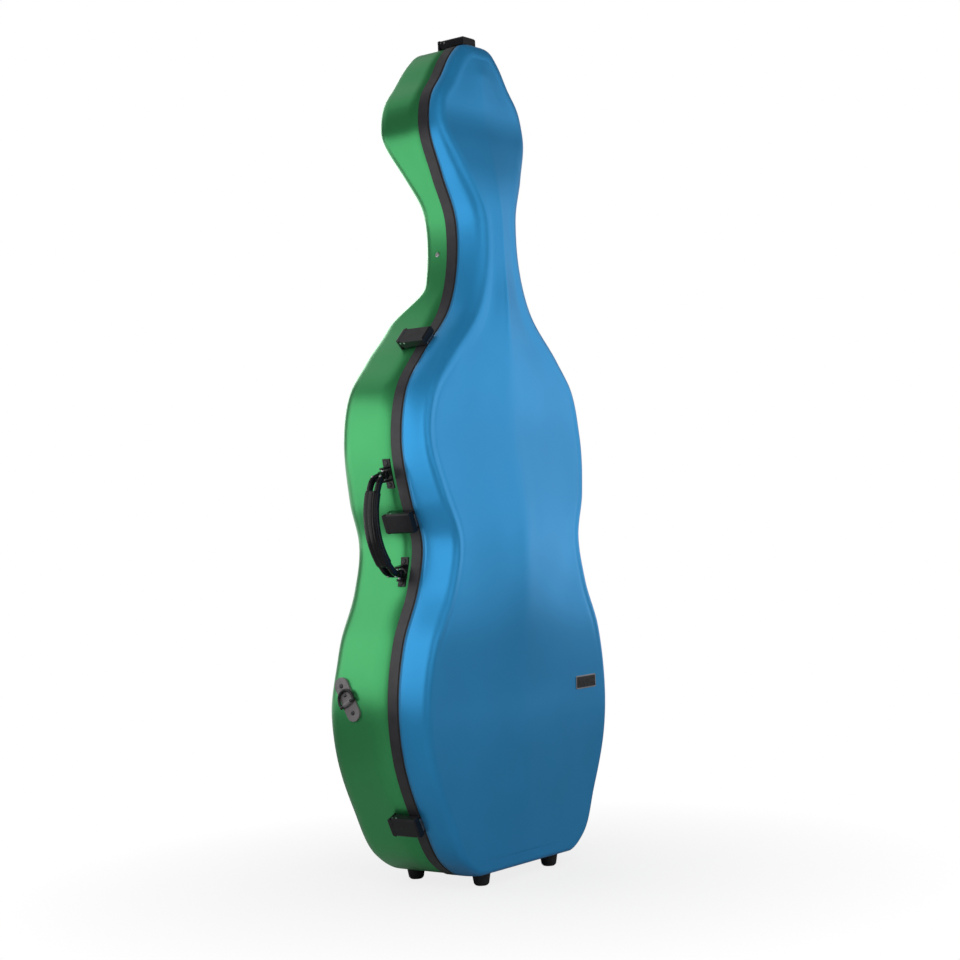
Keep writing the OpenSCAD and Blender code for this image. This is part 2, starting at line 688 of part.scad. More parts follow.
bail_len = norm(hook_at - toggle_at);
module wire(from, to) {
    d = to - from;
    translate(from) rotate([0, 90, atan2(d.y, d.x)]) cylinder(h = norm(d), r = wire_r, $fn = 32);
}
module wire_corner(at, from) {
    translate(at) rotate([0, 0, from]) rotate_extrude(angle = 90, $fn = 48)
        translate([wire_bend, 0]) circle(wire_r, $fn = 32);
}
// Drawn flat: x across the latch, y from the toggle to the hook
module latch_bail(p) {
    color(steel) seam() at_latch(p) translate([0, toggle_at.x, toggle_at.y])
        rotate([atan2(hook_at.y - toggle_at.y, hook_at.x - toggle_at.x), 0, 0]) {
            for (turn = [0, 180]) rotate([0, turn, 0]) {
                wire([arm_s + wire_bend, 0, 0], [latch_w / 2 + 0.5, 0, 0]);
                wire_corner([arm_s + wire_bend, wire_bend, 0], 180);
                wire([arm_s, wire_bend, 0], [arm_s, bail_len - wire_bend, 0]);
                wire_corner([arm_s - wire_bend, bail_len - wire_bend, 0], 0);
            }
            wire([wire_bend - arm_s, bail_len, 0], [arm_s - wire_bend, bail_len, 0]);
        }
}
// Hook on the lid's rim that comes out through the seam and turns back over the band
module latch_catch(p) {
    color(steel) seam() at_latch(p) across(catch_w) union() {
        translate([-seal_lid, -seal_in]) square([seal_lid - 0.1, seal_in + 2.8]);
        translate([-seal_lid, 1.6]) square([seal_lid + hook_at.x + wire_r + 1.2, 1.2]);
        translate([hook_at.x + wire_r + run_gap, 1.6]) square([1.2, 4.6]);
    }
}

// Carrying handle in the frame of the line between its brackets
handle_low = [-half_w(handle_low_z), handle_low_z];
handle_high = [-half_w(handle_high_z), handle_high_z];
handle_mid = (handle_low + handle_high) / 2;
handle_span = norm(handle_high - handle_low);
handle_tilt = atan2(handle_high.y - handle_low.y, handle_low.x - handle_high.x);
eye_w = 16;
eye_r = 6;
ear_t = 3;
handle_pin_r = 2;
bend_r = 26;
strand_w = 7.5;
strand_t = 10;
strand_end = 64;
// Distance of the strands' centre lines from the middle, a little inside the sleeve's sides
strand_y = (grip_w - strand_w) / 2 - 0.4;
// The grip is a shallow arc between two tighter bends, which lead back to the eyes
handle_top = handle_axis_h + handle_reach;
bend_n = handle_axis_h + 2;
bend_x = handle_span / 2 - bend_r;
arc_r = (bend_x * bend_x + pow(handle_top - bend_n, 2) - bend_r * bend_r)
    / (2 * (handle_top - bend_n - bend_r));
arc_half = asin(bend_x / (arc_r - bend_r));
module at_handle() {
    translate([handle_mid.x, handle_y, handle_mid.y]) rotate([0, handle_tilt - 180, 0]) children();
}
// Sweep of a profile in the handle's plane, from one angle to another over its line
module sweep(from, to) {
    rotate([90, 0, 0]) rotate([0, 0, from]) rotate_extrude(angle = to - from, $fn = 96) children();
}
module handle_grip() {
    end_n = bend_n + bend_r * sin(90 - strand_end);
    color(black) seam() at_handle() difference() {
        union() {
            translate([0, 0, handle_top - arc_r]) sweep(90 - arc_half, 90 + arc_half)
                translate([arc_r, 0]) round_rect(grip_t, grip_w, 5);
            for (turn = [0, 180]) rotate([0, 0, turn]) {
                translate([bend_x, 0, bend_n]) sweep(88 - strand_end, 91 - arc_half)
                    for (y = [-1, 1]) translate([bend_r, y * strand_y])
                        round_rect(strand_t, strand_w, 3);
                // Root of the strands, narrow at the eye
                translate([handle_span / 2 - 1.5, 0, 0]) across(strand_t + 1) difference() {
                    polygon([[-eye_r, handle_axis_h], [eye_r, handle_axis_h], [grip_w / 2, end_n - 2],
                        [grip_w / 2, end_n + 1], [-grip_w / 2, end_n + 1], [-grip_w / 2, end_n - 2]]);
                    translate([0, end_n]) circle(grip_w / 2 - strand_w, $fn = 32);
                }
                translate([handle_span / 2, 0, 0]) across(eye_w)
                    translate([0, handle_axis_h]) circle(eye_r, $fn = 48);
            }
        }
        across(2 * handle_span) translate([0, handle_axis_h])
            circle(handle_pin_r + run_gap, $fn = 48);
    }
}
// Bracket: a plate bent to the shell with two ears that hold the pin
bracket_len = 46;
bracket_w = 14;
bracket_t = 2.5;
bracket_screw = 17;
ear_gap = 0.3;
screw_hole_r = 2;
screw_head_r = 3.6;
screw_head_h = 1.8;
rivet_hole_r = 1.5;
rivet_head_r = 2.6;
rivet_head_h = 1.6;
// Places of a bracket's two screws on the shell
module at_bracket_screws(z) {
    for (s = [-1, 1]) on_left(z + s * bracket_screw * sin(lean(z)), handle_y) children();
}
module handle_bracket(z, side) {
    y0 = handle_y - bracket_w;
    y1 = handle_y + bracket_w;
    color(black) seam() difference() {
        union() {
            difference() {
                intersection() {
                    on_left(z, handle_y) translate([-bracket_len / 2, -bracket_w / 2, -20])
                        cube([bracket_len, bracket_w, 40]);
                    prism(shell_in - bracket_t, y0, y1);
                }
                at_bracket_screws(z) translate([0, 0, -10]) cylinder(h = 20, r = screw_hole_r, $fn = 32);
            }
            at_handle() for (s = [-1, 1])
                translate([side * handle_span / 2 + s * ((eye_w + ear_t) / 2 + ear_gap), 0, 0])
                    across(ear_t) union() {
                        translate([0, handle_axis_h]) circle(5, $fn = 48);
                        translate([-5, -16]) square([10, handle_axis_h + 16]);
                    }
        }
        prism(shell_in, y0 - 1, y1 + 1);
        at_handle() across(2 * handle_span) translate([0, handle_axis_h])
            circle(handle_pin_r, $fn = 48);
    }
}
module handle_pins() {
    color(steel) seam() at_handle() for (s = [-1, 1]) translate([s * handle_span / 2, 0, 0])
        across(eye_w + 2 * ear_t + 2 * ear_gap) translate([0, handle_axis_h])
            circle(handle_pin_r, $fn = 48);
}
// A dome on n = 0, and a shank under it
module dome(r, h) {
    rotate_extrude($fn = 32)
        polygon([[0, 0], [r, 0], [r, h * 0.3], [r * 0.75, h * 0.8], [r * 0.35, h], [0, h]]);
}
module shank(r, h) {
    translate([0, 0, -h]) cylinder(h = h, r = r, $fn = 32);
}
plate_face = bracket_t - shell_in;
// Room between a head and the curved face under it
head_gap = 0.25;
module handle_screws() {
    color(steel) seam() for (z = [handle_low_z, handle_high_z]) at_bracket_screws(z)
        translate([0, 0, plate_face + head_gap]) {
            dome(screw_head_r, screw_head_h);
            shank(screw_hole_r - run_gap, bracket_t);
        }
}

// Strap rings: x up the plate, y across it, z outward
ring_z = 303;
ring_y = 100.3;
plate_tilt = 31;
ring_r = 14.5;
ring_bar_x = -7;
plate_screw = 23.7;
rivet_x = 7.2;
ring_bar_r = ring_wire / 2 + 0.3;
ring_n = plate_face + ring_bar_r + 0.1;
keeper_w = 15;
keeper_t = 1.2;
module at_ring(side) {
    mirror([side > 0 ? 1 : 0, 0, 0]) on_left(ring_z, ring_y) rotate([0, 0, plate_tilt]) children();
}
module ring_plate(side) {
    color(plate_grey) seam() difference() {
        at_ring(side) difference() {
            union() {
                translate([0, 0, -8]) linear_extrude(8 + plate_face) union() {
                    for (s = [-1, 1])
                        translate([s * (plate_len - plate_w) / 2, 0]) circle(plate_w / 2, $fn = 64);
                    square([plate_len - plate_w, plate_w], center = true);
                }
                // Keeper folded over the ring's bar
                translate([ring_bar_x, 0, 0]) rotate([90, 0, 0])
                    linear_extrude(keeper_w, center = true) union() {
                        translate([0, ring_n]) circle(ring_bar_r + keeper_t, $fn = 48);
                        translate([-ring_bar_r - keeper_t, 0]) square([2 * (ring_bar_r + keeper_t), ring_n]);
                    }
            }
            translate([ring_bar_x, 0, ring_n]) rotate([90, 0, 0])
                cylinder(h = 2 * ring_r, r = ring_bar_r + run_gap, center = true, $fn = 48);
            for (s = [-1, 1])
                translate([s * plate_screw, 0, -20]) cylinder(h = 40, r = screw_hole_r, $fn = 32);
            translate([rivet_x, 0, -20]) cylinder(h = 40, r = rivet_hole_r, $fn = 32);
        }
        prism(shell_in, ring_y - plate_len, ring_y + plate_len);
    }
}
// The ring is bent to a D and its ends are let into a slightly thicker bar
module strap_ring(side) {
    bend = acos(ring_bar_x / ring_r);
    color(black) seam() at_ring(side) translate([0, 0, ring_n]) {
        rotate([0, 0, -bend]) rotate_extrude(angle = 2 * bend, $fn = 72)
            translate([ring_r, 0]) circle(ring_wire / 2, $fn = 32);
        translate([ring_bar_x, 0, 0]) rotate([90, 0, 0])
            cylinder(h = 2 * ring_r + 2, r = ring_bar_r, center = true, $fn = 32);
    }
}
module ring_rivets() {
    color(steel) seam() for (side = [-1, 1]) at_ring(side) translate([0, 0, plate_face]) {
        for (s = [-1, 1]) translate([s * plate_screw, 0, 0]) {
            dome(screw_head_r, screw_head_h);
            shank(screw_hole_r - run_gap, bracket_t - 0.2);
        }
        translate([rivet_x, 0, 0]) {
            dome(rivet_head_r, rivet_head_h);
            shank(rivet_hole_r - run_gap, bracket_t - 0.2);
        }
    }
}
neck_screw_y = 39;
module neck_screws() {
    color(steel) seam() for (side = [0, 1]) mirror([side, 0, 0])
        on_left(neck_z - 3, neck_screw_y) translate([0, 0, head_gap - shell_in])
            dome(screw_head_r + 0.4, screw_head_h);
}

// Bow fittings in the lid: a pocket for each frog, a rest for each stick and a turn button over it
bow_x = 60;
bow_y = -14;
frog_drop = 105;
frog_z = lower_z - frog_drop;
frog_w = 46;
frog_h = 65;
frog_wall = 2.5;
module bow_frog_holder(side) {
    depth = lid_d(frog_z) - lined + bow_y;
    color(plush) seam() translate([side * bow_x - frog_w / 2, bow_y - depth, frog_z]) difference() {
        cube([frog_w, depth, frog_h]);
        translate([frog_wall, frog_wall, frog_wall])
            cube([frog_w - 2 * frog_wall, depth - 2 * frog_wall, frog_h]);
    }
}
rest_drop = 175;
rest_z = neck_z - rest_drop;
rest_w = 44;
rest_h = 24;
stick_w = 11;
stick_x = -9;
button_x = 11;
button_r = 2;
rest_hole = 9;
module bow_rests() {
    depth = lid_d(rest_z) - lined + bow_y;
    color(foam) seam() for (side = [-1, 1]) translate([side * bow_x, bow_y, rest_z]) difference() {
        translate([0, 0, -rest_h / 2]) linear_extrude(rest_h) difference() {
            translate([-rest_w / 2, -depth]) square([rest_w, depth]);
            translate([side * stick_x, -stick_w / 2 - 4]) circle(stick_w / 2, $fn = 32);
            translate([side * stick_x - stick_w / 2, -stick_w / 2 - 4]) square([stick_w, stick_w + 5]);
        }
        translate([side * button_x, -rest_hole, 0]) rotate([-90, 0, 0])
            cylinder(h = rest_hole + 1, r = button_r + soft_gap, $fn = 32);
    }
}
button_t = 5;
button_w = 14;
button_reach = 18;
module bow_spinner(side) {
    color(black) seam() translate([side * (bow_x + button_x), bow_y + soft_gap, rest_z])
        rotate([-90, 0, 0]) linear_extrude(button_t) difference() {
            union() {
                for (s = [-1, 1]) translate([s * button_reach, 0]) circle(button_w / 2, $fn = 48);
                square([2 * button_reach, button_w], center = true);
            }
            circle(button_r + run_gap, $fn = 48);
        }
}
module spinner_screws() {
    color(steel) seam() for (side = [-1, 1])
        translate([side * (bow_x + button_x), bow_y + soft_gap + button_t + 0.1, rest_z])
            rotate([-90, 0, 0]) {
                dome(4.5, 2);
                shank(button_r, button_t + rest_hole - 1);
            }
}

base_shell();
base_rim();
seal_gasket();
base_lining();
neck_cradle();
neck_strap();
lower_block();
bout_pads();
base_feet();
lid_feet();
lid_shell();
lid_rim();
lid_lining();
bow_rests();
bow_frog_holder(-1);  // bow_frog_holder_left
bow_frog_holder(1);  // bow_frog_holder_right
bow_spinner(-1);  // bow_spinner_left
bow_spinner(1);  // bow_spinner_right
spinner_screws();
hinge_base_leaf(hinge_places[0]);  // hinge_base_leaf_lower
hinge_base_leaf(hinge_places[1]);  // hinge_base_leaf_middle
hinge_base_leaf(hinge_places[2]);  // hinge_base_leaf_upper
hinge_lid_leaf(hinge_places[0]);  // hinge_lid_leaf_lower
hinge_lid_leaf(hinge_places[1]);  // hinge_lid_leaf_middle
hinge_lid_leaf(hinge_places[2]);  // hinge_lid_leaf_upper
hinge_pin(hinge_places[0]);  // hinge_pin_lower
hinge_pin(hinge_places[1]);  // hinge_pin_middle
hinge_pin(hinge_places[2]);  // hinge_pin_upper
latch_base(latch_places[0]);  // latch_base_top
latch_base(latch_places[1]);  // latch_base_shoulder
latch_base(latch_places[2]);  // latch_base_waist
latch_base(latch_places[3]);  // latch_base_lower
latch_pin(latch_places[0]);  // latch_pin_top
latch_pin(latch_places[1]);  // latch_pin_shoulder
latch_pin(latch_places[2]);  // latch_pin_waist
latch_pin(latch_places[3]);  // latch_pin_lower
latch_lever(latch_places[0]);  // latch_lever_top
latch_lever(latch_places[1]);  // latch_lever_shoulder
latch_lever(latch_places[2]);  // latch_lever_waist
latch_lever(latch_places[3]);  // latch_lever_lower
latch_bail(latch_places[0]);  // latch_bail_top
latch_bail(latch_places[1]);  // latch_bail_shoulder
latch_bail(latch_places[2]);  // latch_bail_waist
latch_bail(latch_places[3]);  // latch_bail_lower
latch_catch(latch_places[0]);  // latch_catch_top
latch_catch(latch_places[1]);  // latch_catch_shoulder
latch_catch(latch_places[2]);  // latch_catch_waist
latch_catch(latch_places[3]);  // latch_catch_lower
handle_grip();
handle_bracket(handle_high_z, 1);  // handle_bracket_upper
handle_bracket(handle_low_z, -1);  // handle_bracket_lower
handle_pins();
handle_screws();
ring_plate(-1);  // ring_plate_left
ring_plate(1);  // ring_plate_right
strap_ring(-1);  // strap_ring_left
strap_ring(1);  // strap_ring_right
ring_rivets();
neck_screws();
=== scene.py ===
import json
import math

import bmesh
import bpy
from mathutils import Matrix, Vector


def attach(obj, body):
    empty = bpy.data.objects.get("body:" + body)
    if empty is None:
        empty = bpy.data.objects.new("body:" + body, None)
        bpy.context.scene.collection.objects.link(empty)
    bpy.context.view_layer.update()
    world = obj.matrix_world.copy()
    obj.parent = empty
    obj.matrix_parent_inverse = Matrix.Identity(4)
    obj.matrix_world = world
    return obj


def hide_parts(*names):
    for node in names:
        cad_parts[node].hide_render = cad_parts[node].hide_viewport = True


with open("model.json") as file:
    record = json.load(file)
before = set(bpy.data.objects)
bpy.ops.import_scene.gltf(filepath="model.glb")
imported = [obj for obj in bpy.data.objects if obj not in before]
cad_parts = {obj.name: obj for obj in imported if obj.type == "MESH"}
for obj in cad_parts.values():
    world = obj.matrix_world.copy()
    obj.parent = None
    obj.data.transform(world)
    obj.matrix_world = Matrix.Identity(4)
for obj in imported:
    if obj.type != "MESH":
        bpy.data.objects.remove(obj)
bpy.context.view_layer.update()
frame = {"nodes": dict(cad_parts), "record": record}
MM = 0.001

# Values of the outline and the shells, as the part's source has them, in millimetres
CASE_H, FOOT_H = 1322, 18
BOTTOM_W, LOWER_W, LOWER_Z = 236, 495, 275
WAIST_W, WAIST_Z = 347, 538
UPPER_W, UPPER_Z = 424, 698
NECK_W, NECK_Z = 110, 995
HEAD_W, HEAD_Z = 225, 1190
WALL, RIM_T, RIDGE_H = 3, 1.6, 12
LID_DRAFT, LID_BOTTOM_DRAFT = 13, 3
LID_STRAIGHT, CREASE_SHARE = 16, 0.8
SEAM_Y = -41
SEAL_BASE, SEAL_LID = 0.8, 1.2
LID_EDGE = SEAL_LID + RIM_T
BASE_EDGE = SEAL_BASE + RIM_T
BAND_H, LEG_H, LID_LEG = 19, 14, 8
LINING_T, SOFT_GAP = 4, 0.3
INSIDE = WALL + SOFT_GAP
LINED = INSIDE + LINING_T + SOFT_GAP
STEP, TOP_STEP, LEAN_RUN = 30, 13, 8
# Where the lid's crease turns and how far it runs, as shares of its size
CREASE_TURN, CREASE_RUN = 0.28, 0.62

# Forms that the scene adds: a finer outline, the ridge's share of the crown and its roundness, the low
# crest on it, and where along the lid's section its bend starts
FINE = 4
RIDGE_SHARE, RIDGE_ROUND = 0.5, 0.07
CREST, CREST_W = 0.12, 0.13
BEND_FROM = 0.4


def mix(a, b, t):
    return a + (b - a) * t


def ease(t):
    u = min(1, max(0, t))
    return u * u * (3 - 2 * u)


def knot(a, b, tw, tz):
    return Vector((mix(a.x, b.x, tw), mix(a.y, b.y, tz)))


def pt(x, y):
    return Vector((x, y))


bottom_at = pt(BOTTOM_W / 2, FOOT_H)
lower_at = pt(LOWER_W / 2, LOWER_Z)
waist_at = pt(WAIST_W / 2, WAIST_Z)
upper_at = pt(UPPER_W / 2, UPPER_Z)
neck_at = pt(NECK_W / 2, NECK_Z)
head_at = pt(HEAD_W / 2, HEAD_Z)
top_at = pt(0, CASE_H)
crown_at = knot(head_at, top_at, 0.53, 0.835)
side_knots = [
    bottom_at, knot(bottom_at, lower_at, 0.31, 0.086), knot(bottom_at, lower_at, 0.68, 0.397),
    knot(bottom_at, lower_at, 0.942, 0.747), lower_at, knot(lower_at, waist_at, 0.264, 0.43),
    knot(lower_at, waist_at, 0.804, 0.741), waist_at, knot(waist_at, upper_at, 0.545, 0.388),
    upper_at, knot(upper_at, neck_at, 0.13, 0.276), knot(upper_at, neck_at, 0.395, 0.444),
    knot(upper_at, neck_at, 0.84, 0.7), neck_at, knot(neck_at, head_at, 0.026, 0.25),
    knot(neck_at, head_at, 0.53, 0.59), head_at, knot(head_at, top_at, 0.07, 0.30),
    knot(head_at, top_at, 0.31, 0.568), crown_at,
]
top_knots = [crown_at, knot(head_at, top_at, 0.72, 0.975), top_at]


def slope(a, b, c):
    d, e = (b - a).length, (c - b).length
    return ((b - a) * e / d + (c - b) * d / e) / (d + e)


def curve(knots, before, after, step):
    line = []
    for i in range(len(knots) - 1):
        a, b = knots[i], knots[i + 1]
        p = before if i == 0 else knots[i - 1]
        q = after if i == len(knots) - 2 else knots[i + 2]
        d = (b - a).length
        n = max(1, round(d / step)) * FINE
        ma, mb = slope(p, a, b), slope(a, b, q)
        for s in range(n):
            t = s / n
            line.append((1 - 3 * t * t + 2 * t ** 3) * a + (t - 2 * t * t + t ** 3) * d * ma
                        + (3 * t * t - 2 * t ** 3) * b + (t ** 3 - t * t) * d * mb)
    return line + [knots[-1]]


side_line = curve(side_knots, bottom_at - pt(STEP, 0), top_knots[1], STEP)
top_line = curve(top_knots, side_knots[-2], pt(-top_knots[1].x, top_knots[1].y), TOP_STEP)
ROWS = len(side_line) - 2
COLUMNS = 2 * (len(top_line) - 1)
outline = (
    [pt(mix(-bottom_at.x, bottom_at.x, m / COLUMNS), FOOT_H) for m in range(COLUMNS + 1)]
    + side_line[1:ROWS + 1] + top_line
    + [pt(-p.x, p.y) for p in reversed(top_line[:-1])]
    + [pt(-p.x, p.y) for p in reversed(side_line[1:ROWS + 1])]
)
COUNT = len(outline)


def outward_at(i):
    d = outline[(i + FINE) % COUNT] - outline[(i - FINE) % COUNT]
    return pt(d.y, -d.x).normalized()


outward = [outward_at(i) for i in range(COUNT)]


def half_w(z):
    for a, b in zip(side_line, side_line[1:]):
        if a.y <= z <= b.y:
            return mix(a.x, b.x, (z - a.y) / (b.y - a.y))
    return bottom_at.x if z < FOOT_H else top_line[0].x


def along(z, table):
    if z <= table[0][0]:
        return table[0][1]
    for a, b in zip(table, table[1:]):
        if z <= b[0]:
            return mix(a[1], b[1], ease((z - a[0]) / (b[0] - a[0])))
    return table[-1][1]


HEEL_LOW, HEEL_HIGH = NECK_Z - 110, NECK_Z - 48
BASE_D = [(LOWER_Z, 156), (LOWER_Z + 90, 149), (WAIST_Z, 149), (UPPER_Z, 137), (HEEL_LOW, 137),
          (HEEL_HIGH, 75), (NECK_Z + 60, 75), (HEAD_Z, 112), (HEAD_Z + 60, 112), (CASE_H, 98)]
LID_D = [(LOWER_Z, 51), (WAIST_Z, 62), (UPPER_Z + 30, 45), (NECK_Z - 110, 50), (NECK_Z + 20, 50),
         (HEAD_Z + 40, 22)]
RIDGE = [(LOWER_Z, 4), (WAIST_Z, RIDGE_H), (NECK_Z - 90, RIDGE_H * 0.6), (NECK_Z, 3)]
BACK_R = [(HEEL_LOW, 38), (HEEL_HIGH, 28), (HEAD_Z + 60, 28), (CASE_H, 22)]
DRAFT = [(FOOT_H, LID_BOTTOM_DRAFT), (FOOT_H + 90, LID_DRAFT)]
CREASE = [(FOOT_H + 40, 12), (WAIST_Z - 60, 9), (UPPER_Z + 40, 9), (NECK_Z - 70, 20)]
# How far the section of the lid is rounded into one soft bend, and the shallow cove beside its crease
SOFT = [(LOWER_Z - 60, 0.75), (LOWER_Z + 60, 0.55), (UPPER_Z + 50, 0.45), (NECK_Z - 90, 1)]
COVE = [(LOWER_Z + 20, 0), (WAIST_Z - 80, 0.45), (UPPER_Z + 40, 0.45), (HEEL_LOW + 10, 0)]
COVE_W = [(HEEL_LOW, 14), (NECK_Z, 4)]
COVE_STEPS = 10


def base_d(z):
    return along(z, BASE_D)


def lid_d(z):
    return along(z, LID_D)


def draft(z):
    return along(z, DRAFT)


def straight(z):
    return min(LID_STRAIGHT, lid_d(z) * 0.4)


def crease(z):
    return min(along(z, CREASE), (lid_d(z) - straight(z)) * CREASE_SHARE)


def lid_inset(y, z):
    return draft(z) * CREASE_SHARE * max(0, y - straight(z)) / (lid_d(z) - crease(z) - straight(z))


def ring(place):
    """Points round the outline; place gives (inset, y) for a height."""
    out = []
    for p, n in zip(outline, outward):
        d, y = place(p.y)
        out.append(Vector((p.x - d * n.x, y, p.y - d * n.y)))
    return out


def base_rings(t, y0, steps):
    rings = [ring(lambda z: (RIM_T + t, y0)),
             ring(lambda z: (RIM_T + t, mix(y0, base_d(z) - along(z, BACK_R), 0.5)))]
    for s in range(steps + 1):
        a = math.pi / 2 * s / steps
        rings.append(ring(lambda z: (
            RIM_T + t + (along(z, BACK_R) - t) * (1 - math.cos(a)),
            base_d(z) - along(z, BACK_R) + (along(z, BACK_R) - t) * math.sin(a))))
    return rings


def lid_section(t, y0, z, q):
    """Inset and depth of the lid's section.

    q goes from 0 at the seam to 1 at the face, and on to 2 over the cove.
    """
    d, r, depth = draft(z), crease(z), lid_d(z)
    face = (t + d + r * CREASE_RUN, t - depth)
    if q > 1:
        v = q - 1
        return face[0] + along(z, COVE_W) * v, face[1] + along(z, COVE) * math.sin(math.pi * v) ** 2
    if q < BEND_FROM:
        y = mix(y0, depth - r, q / BEND_FROM)
        firm = (t + lid_inset(y, z), -y)
    else:
        u = (q - BEND_FROM) / (1 - BEND_FROM)
        a = (t + d * CREASE_SHARE, r - depth)
        m = (t + d, max(t, r * CREASE_TURN) - depth)
        c = [2 * m[k] - (a[k] + face[k]) / 2 for k in (0, 1)]
        firm = [(1 - u) ** 2 * a[k] + 2 * u * (1 - u) * c[k] + u * u * face[k] for k in (0, 1)]
    reach = face[0] - t
    ends = ((t, -y0), (t, -mix(y0, depth, 0.7)), (face[0] - 0.75 * reach, face[1]), face)
    part = ((1 - q) ** 3, 3 * q * (1 - q) ** 2, 3 * q * q * (1 - q), q ** 3)
    bent = [sum(w * e[k] for w, e in zip(part, ends)) for k in (0, 1)]
    return tuple(mix(firm[k], bent[k], along(z, SOFT)) for k in (0, 1))


def lid_rings(t, y0, steps):
    stops = [s / steps for s in range(steps + 1)] + [1 + s / COVE_STEPS for s in range(1, COVE_STEPS + 1)]
    return [ring(lambda z, q=q: lid_section(t, y0, z, q)) for q in stops]


def lid_crown(u, z):
    """Height of the crowned face: a soft dome with a rounded ridge up its middle and a low crest on it."""
    slant = (math.hypot(u, RIDGE_ROUND) - RIDGE_ROUND) / (math.hypot(1, RIDGE_ROUND) - RIDGE_ROUND)
    dome = 1 - mix(ease(abs(u)), slant, RIDGE_SHARE)
    crest = math.exp(-(u / CREST_W) ** 2)
    return along(z, RIDGE) * mix(dome, crest, CREST) * ease((z - FOOT_H) / 120)


def linked(name, data):
    """A new object of a mesh, lamp or camera in the scene's collection."""
    obj = bpy.data.objects.new(name, data)
    bpy.context.collection.objects.link(obj)
    return obj


def smoothed(obj, smooth=True):
    for poly in obj.data.polygons:
        poly.use_smooth = smooth
    return obj


def mesh_object(name, points, faces, smooth=True):
    mesh = bpy.data.meshes.new(name)
    mesh.from_pydata(points, [], faces)
    mesh.validate()
    return smoothed(linked(name, mesh), smooth)


def new_object(name, points, faces, smooth=True):
    """A mesh whose points, in millimetres, are measured from the seam."""
    return mesh_object(name, [Vector((p[0], p[1] + SEAM_Y, p[2])) * MM for p in points], faces, smooth)


def bands(rows, around, closed=False):
    """Faces between neighbouring rows of points that run round; closed joins the last row to the first."""
    faces = []
    for j in range(rows if closed else rows - 1):
        p = (j + 1) % rows
        for k in range(around):
            n = (k + 1) % around
            faces.append((j * around + k, j * around + n, p * around + n, p * around + k))
    return faces


def capped(rows, around):
    """The same with a face over each end."""
    ends = [tuple(range(around))[::-1], tuple(range((rows - 1) * around, rows * around))]
    return bands(rows, around) + ends


def edge_index(j, m):
    if j == 0:
        return m
    if j == ROWS + 1:
        return COLUMNS + 1 + ROWS + COLUMNS - m
    return COLUMNS + j if m == COLUMNS else 2 * COLUMNS + 2 + 2 * ROWS - j


def skin(rings, crowned, flip):
    """Points and faces of one skin: bands between rings and a face over the last ring."""
    points = [p for r in rings for p in r]
    faces = bands(len(rings), COUNT)
    last = (len(rings) - 1) * COUNT
    edge = rings[-1]
    grid = {}
    for j in range(ROWS + 2):
        a, b = edge[edge_index(j, 0)], edge[edge_index(j, COLUMNS)]
        for m in range(COLUMNS + 1):
            if j in (0, ROWS + 1) or m in (0, COLUMNS):
                grid[j, m] = last + edge_index(j, m)
                continue
            grid[j, m] = len(points)
            p = a.lerp(b, m / COLUMNS)
            if crowned:
                p.y -= lid_crown(2 * m / COLUMNS - 1, a.z)
            points.append(p)
    for j in range(ROWS + 1):
        for m in range(COLUMNS):
            faces.append((grid[j, m], grid[j, m + 1], grid[j + 1, m + 1], grid[j + 1, m]))
    return points, [f[::-1] for f in faces] if flip else faces


def tray(name, outer, inner, back, crowned=False):
    pa, fa = skin(outer, crowned, back)
    pb, fb = skin(inner, crowned, not back)
    n = len(pa)
    faces = fa + [tuple(i + n for i in f) for f in fb]
    for i in range(COUNT):
        m = (i + 1) % COUNT
        faces.append((i, n + i, n + m, m) if not back else (i, m, n + m, n + i))
    return new_object(name, pa + pb, faces)


def hoop(name, profile):
    """A closed profile of (inset, y) swept round the outline."""
    rings = [ring(lambda z, q=q: q) for q in profile]
    points = [r[i] for i in range(COUNT) for r in rings]
    return new_object(name, points, bands(COUNT, len(rings), closed=True), smooth=False)


# Materials


def material(name, color, rough, metal=0.0, **sockets):
    mat = bpy.data.materials.new(name)
    mat.use_nodes = True
    shader = mat.node_tree.nodes["Principled BSDF"]
    shader.inputs["Base Color"].default_value = (*color, 1)
    shader.inputs["Roughness"].default_value = rough
    shader.inputs["Metallic"].default_value = metal
    for key, value in sockets.items():
        shader.inputs[key.replace("_", " ")].default_value = value
    return mat


def noise(mat, scale, detail=4.0, stretch=(1, 1, 1)):
    nodes, links = mat.node_tree.nodes, mat.node_tree.links
    place = nodes.new("ShaderNodeTexCoord")
    scaled = nodes.new("ShaderNodeMapping")
    scaled.inputs["Scale"].default_value = stretch
    tex = nodes.new("ShaderNodeTexNoise")
    tex.inputs["Scale"].default_value = scale
    tex.inputs["Detail"].default_value = detail
    links.new(place.outputs["Object"], scaled.inputs["Vector"])
    links.new(scaled.outputs["Vector"], tex.inputs["Vector"])
    return tex.outputs["Fac"]


def ramp(mat, value, low, high, a, b):
    nodes, links = mat.node_tree.nodes, mat.node_tree.links
    node = nodes.new("ShaderNodeValToRGB")
    node.color_ramp.elements[0].position = low
    node.color_ramp.elements[1].position = high
    node.color_ramp.elements[0].color = (*a, 1) if isinstance(a, tuple) else (a, a, a, 1)
    node.color_ramp.elements[1].color = (*b, 1) if isinstance(b, tuple) else (b, b, b, 1)
    links.new(value, node.inputs["Fac"])
    return node.outputs["Color"]


def feed(mat, socket, value):
    mat.node_tree.links.new(value, mat.node_tree.nodes["Principled BSDF"].inputs[socket])


def bump(mat, value, strength, distance):
    nodes, links = mat.node_tree.nodes, mat.node_tree.links
    node = nodes.new("ShaderNodeBump")
    node.inputs["Strength"].default_value = strength
    node.inputs["Distance"].default_value = distance
    links.new(value, node.inputs["Height"])
    links.new(node.outputs["Normal"], nodes["Principled BSDF"].inputs["Normal"])


def shade(color, f):
    return tuple(min(1, c * f) for c in color)


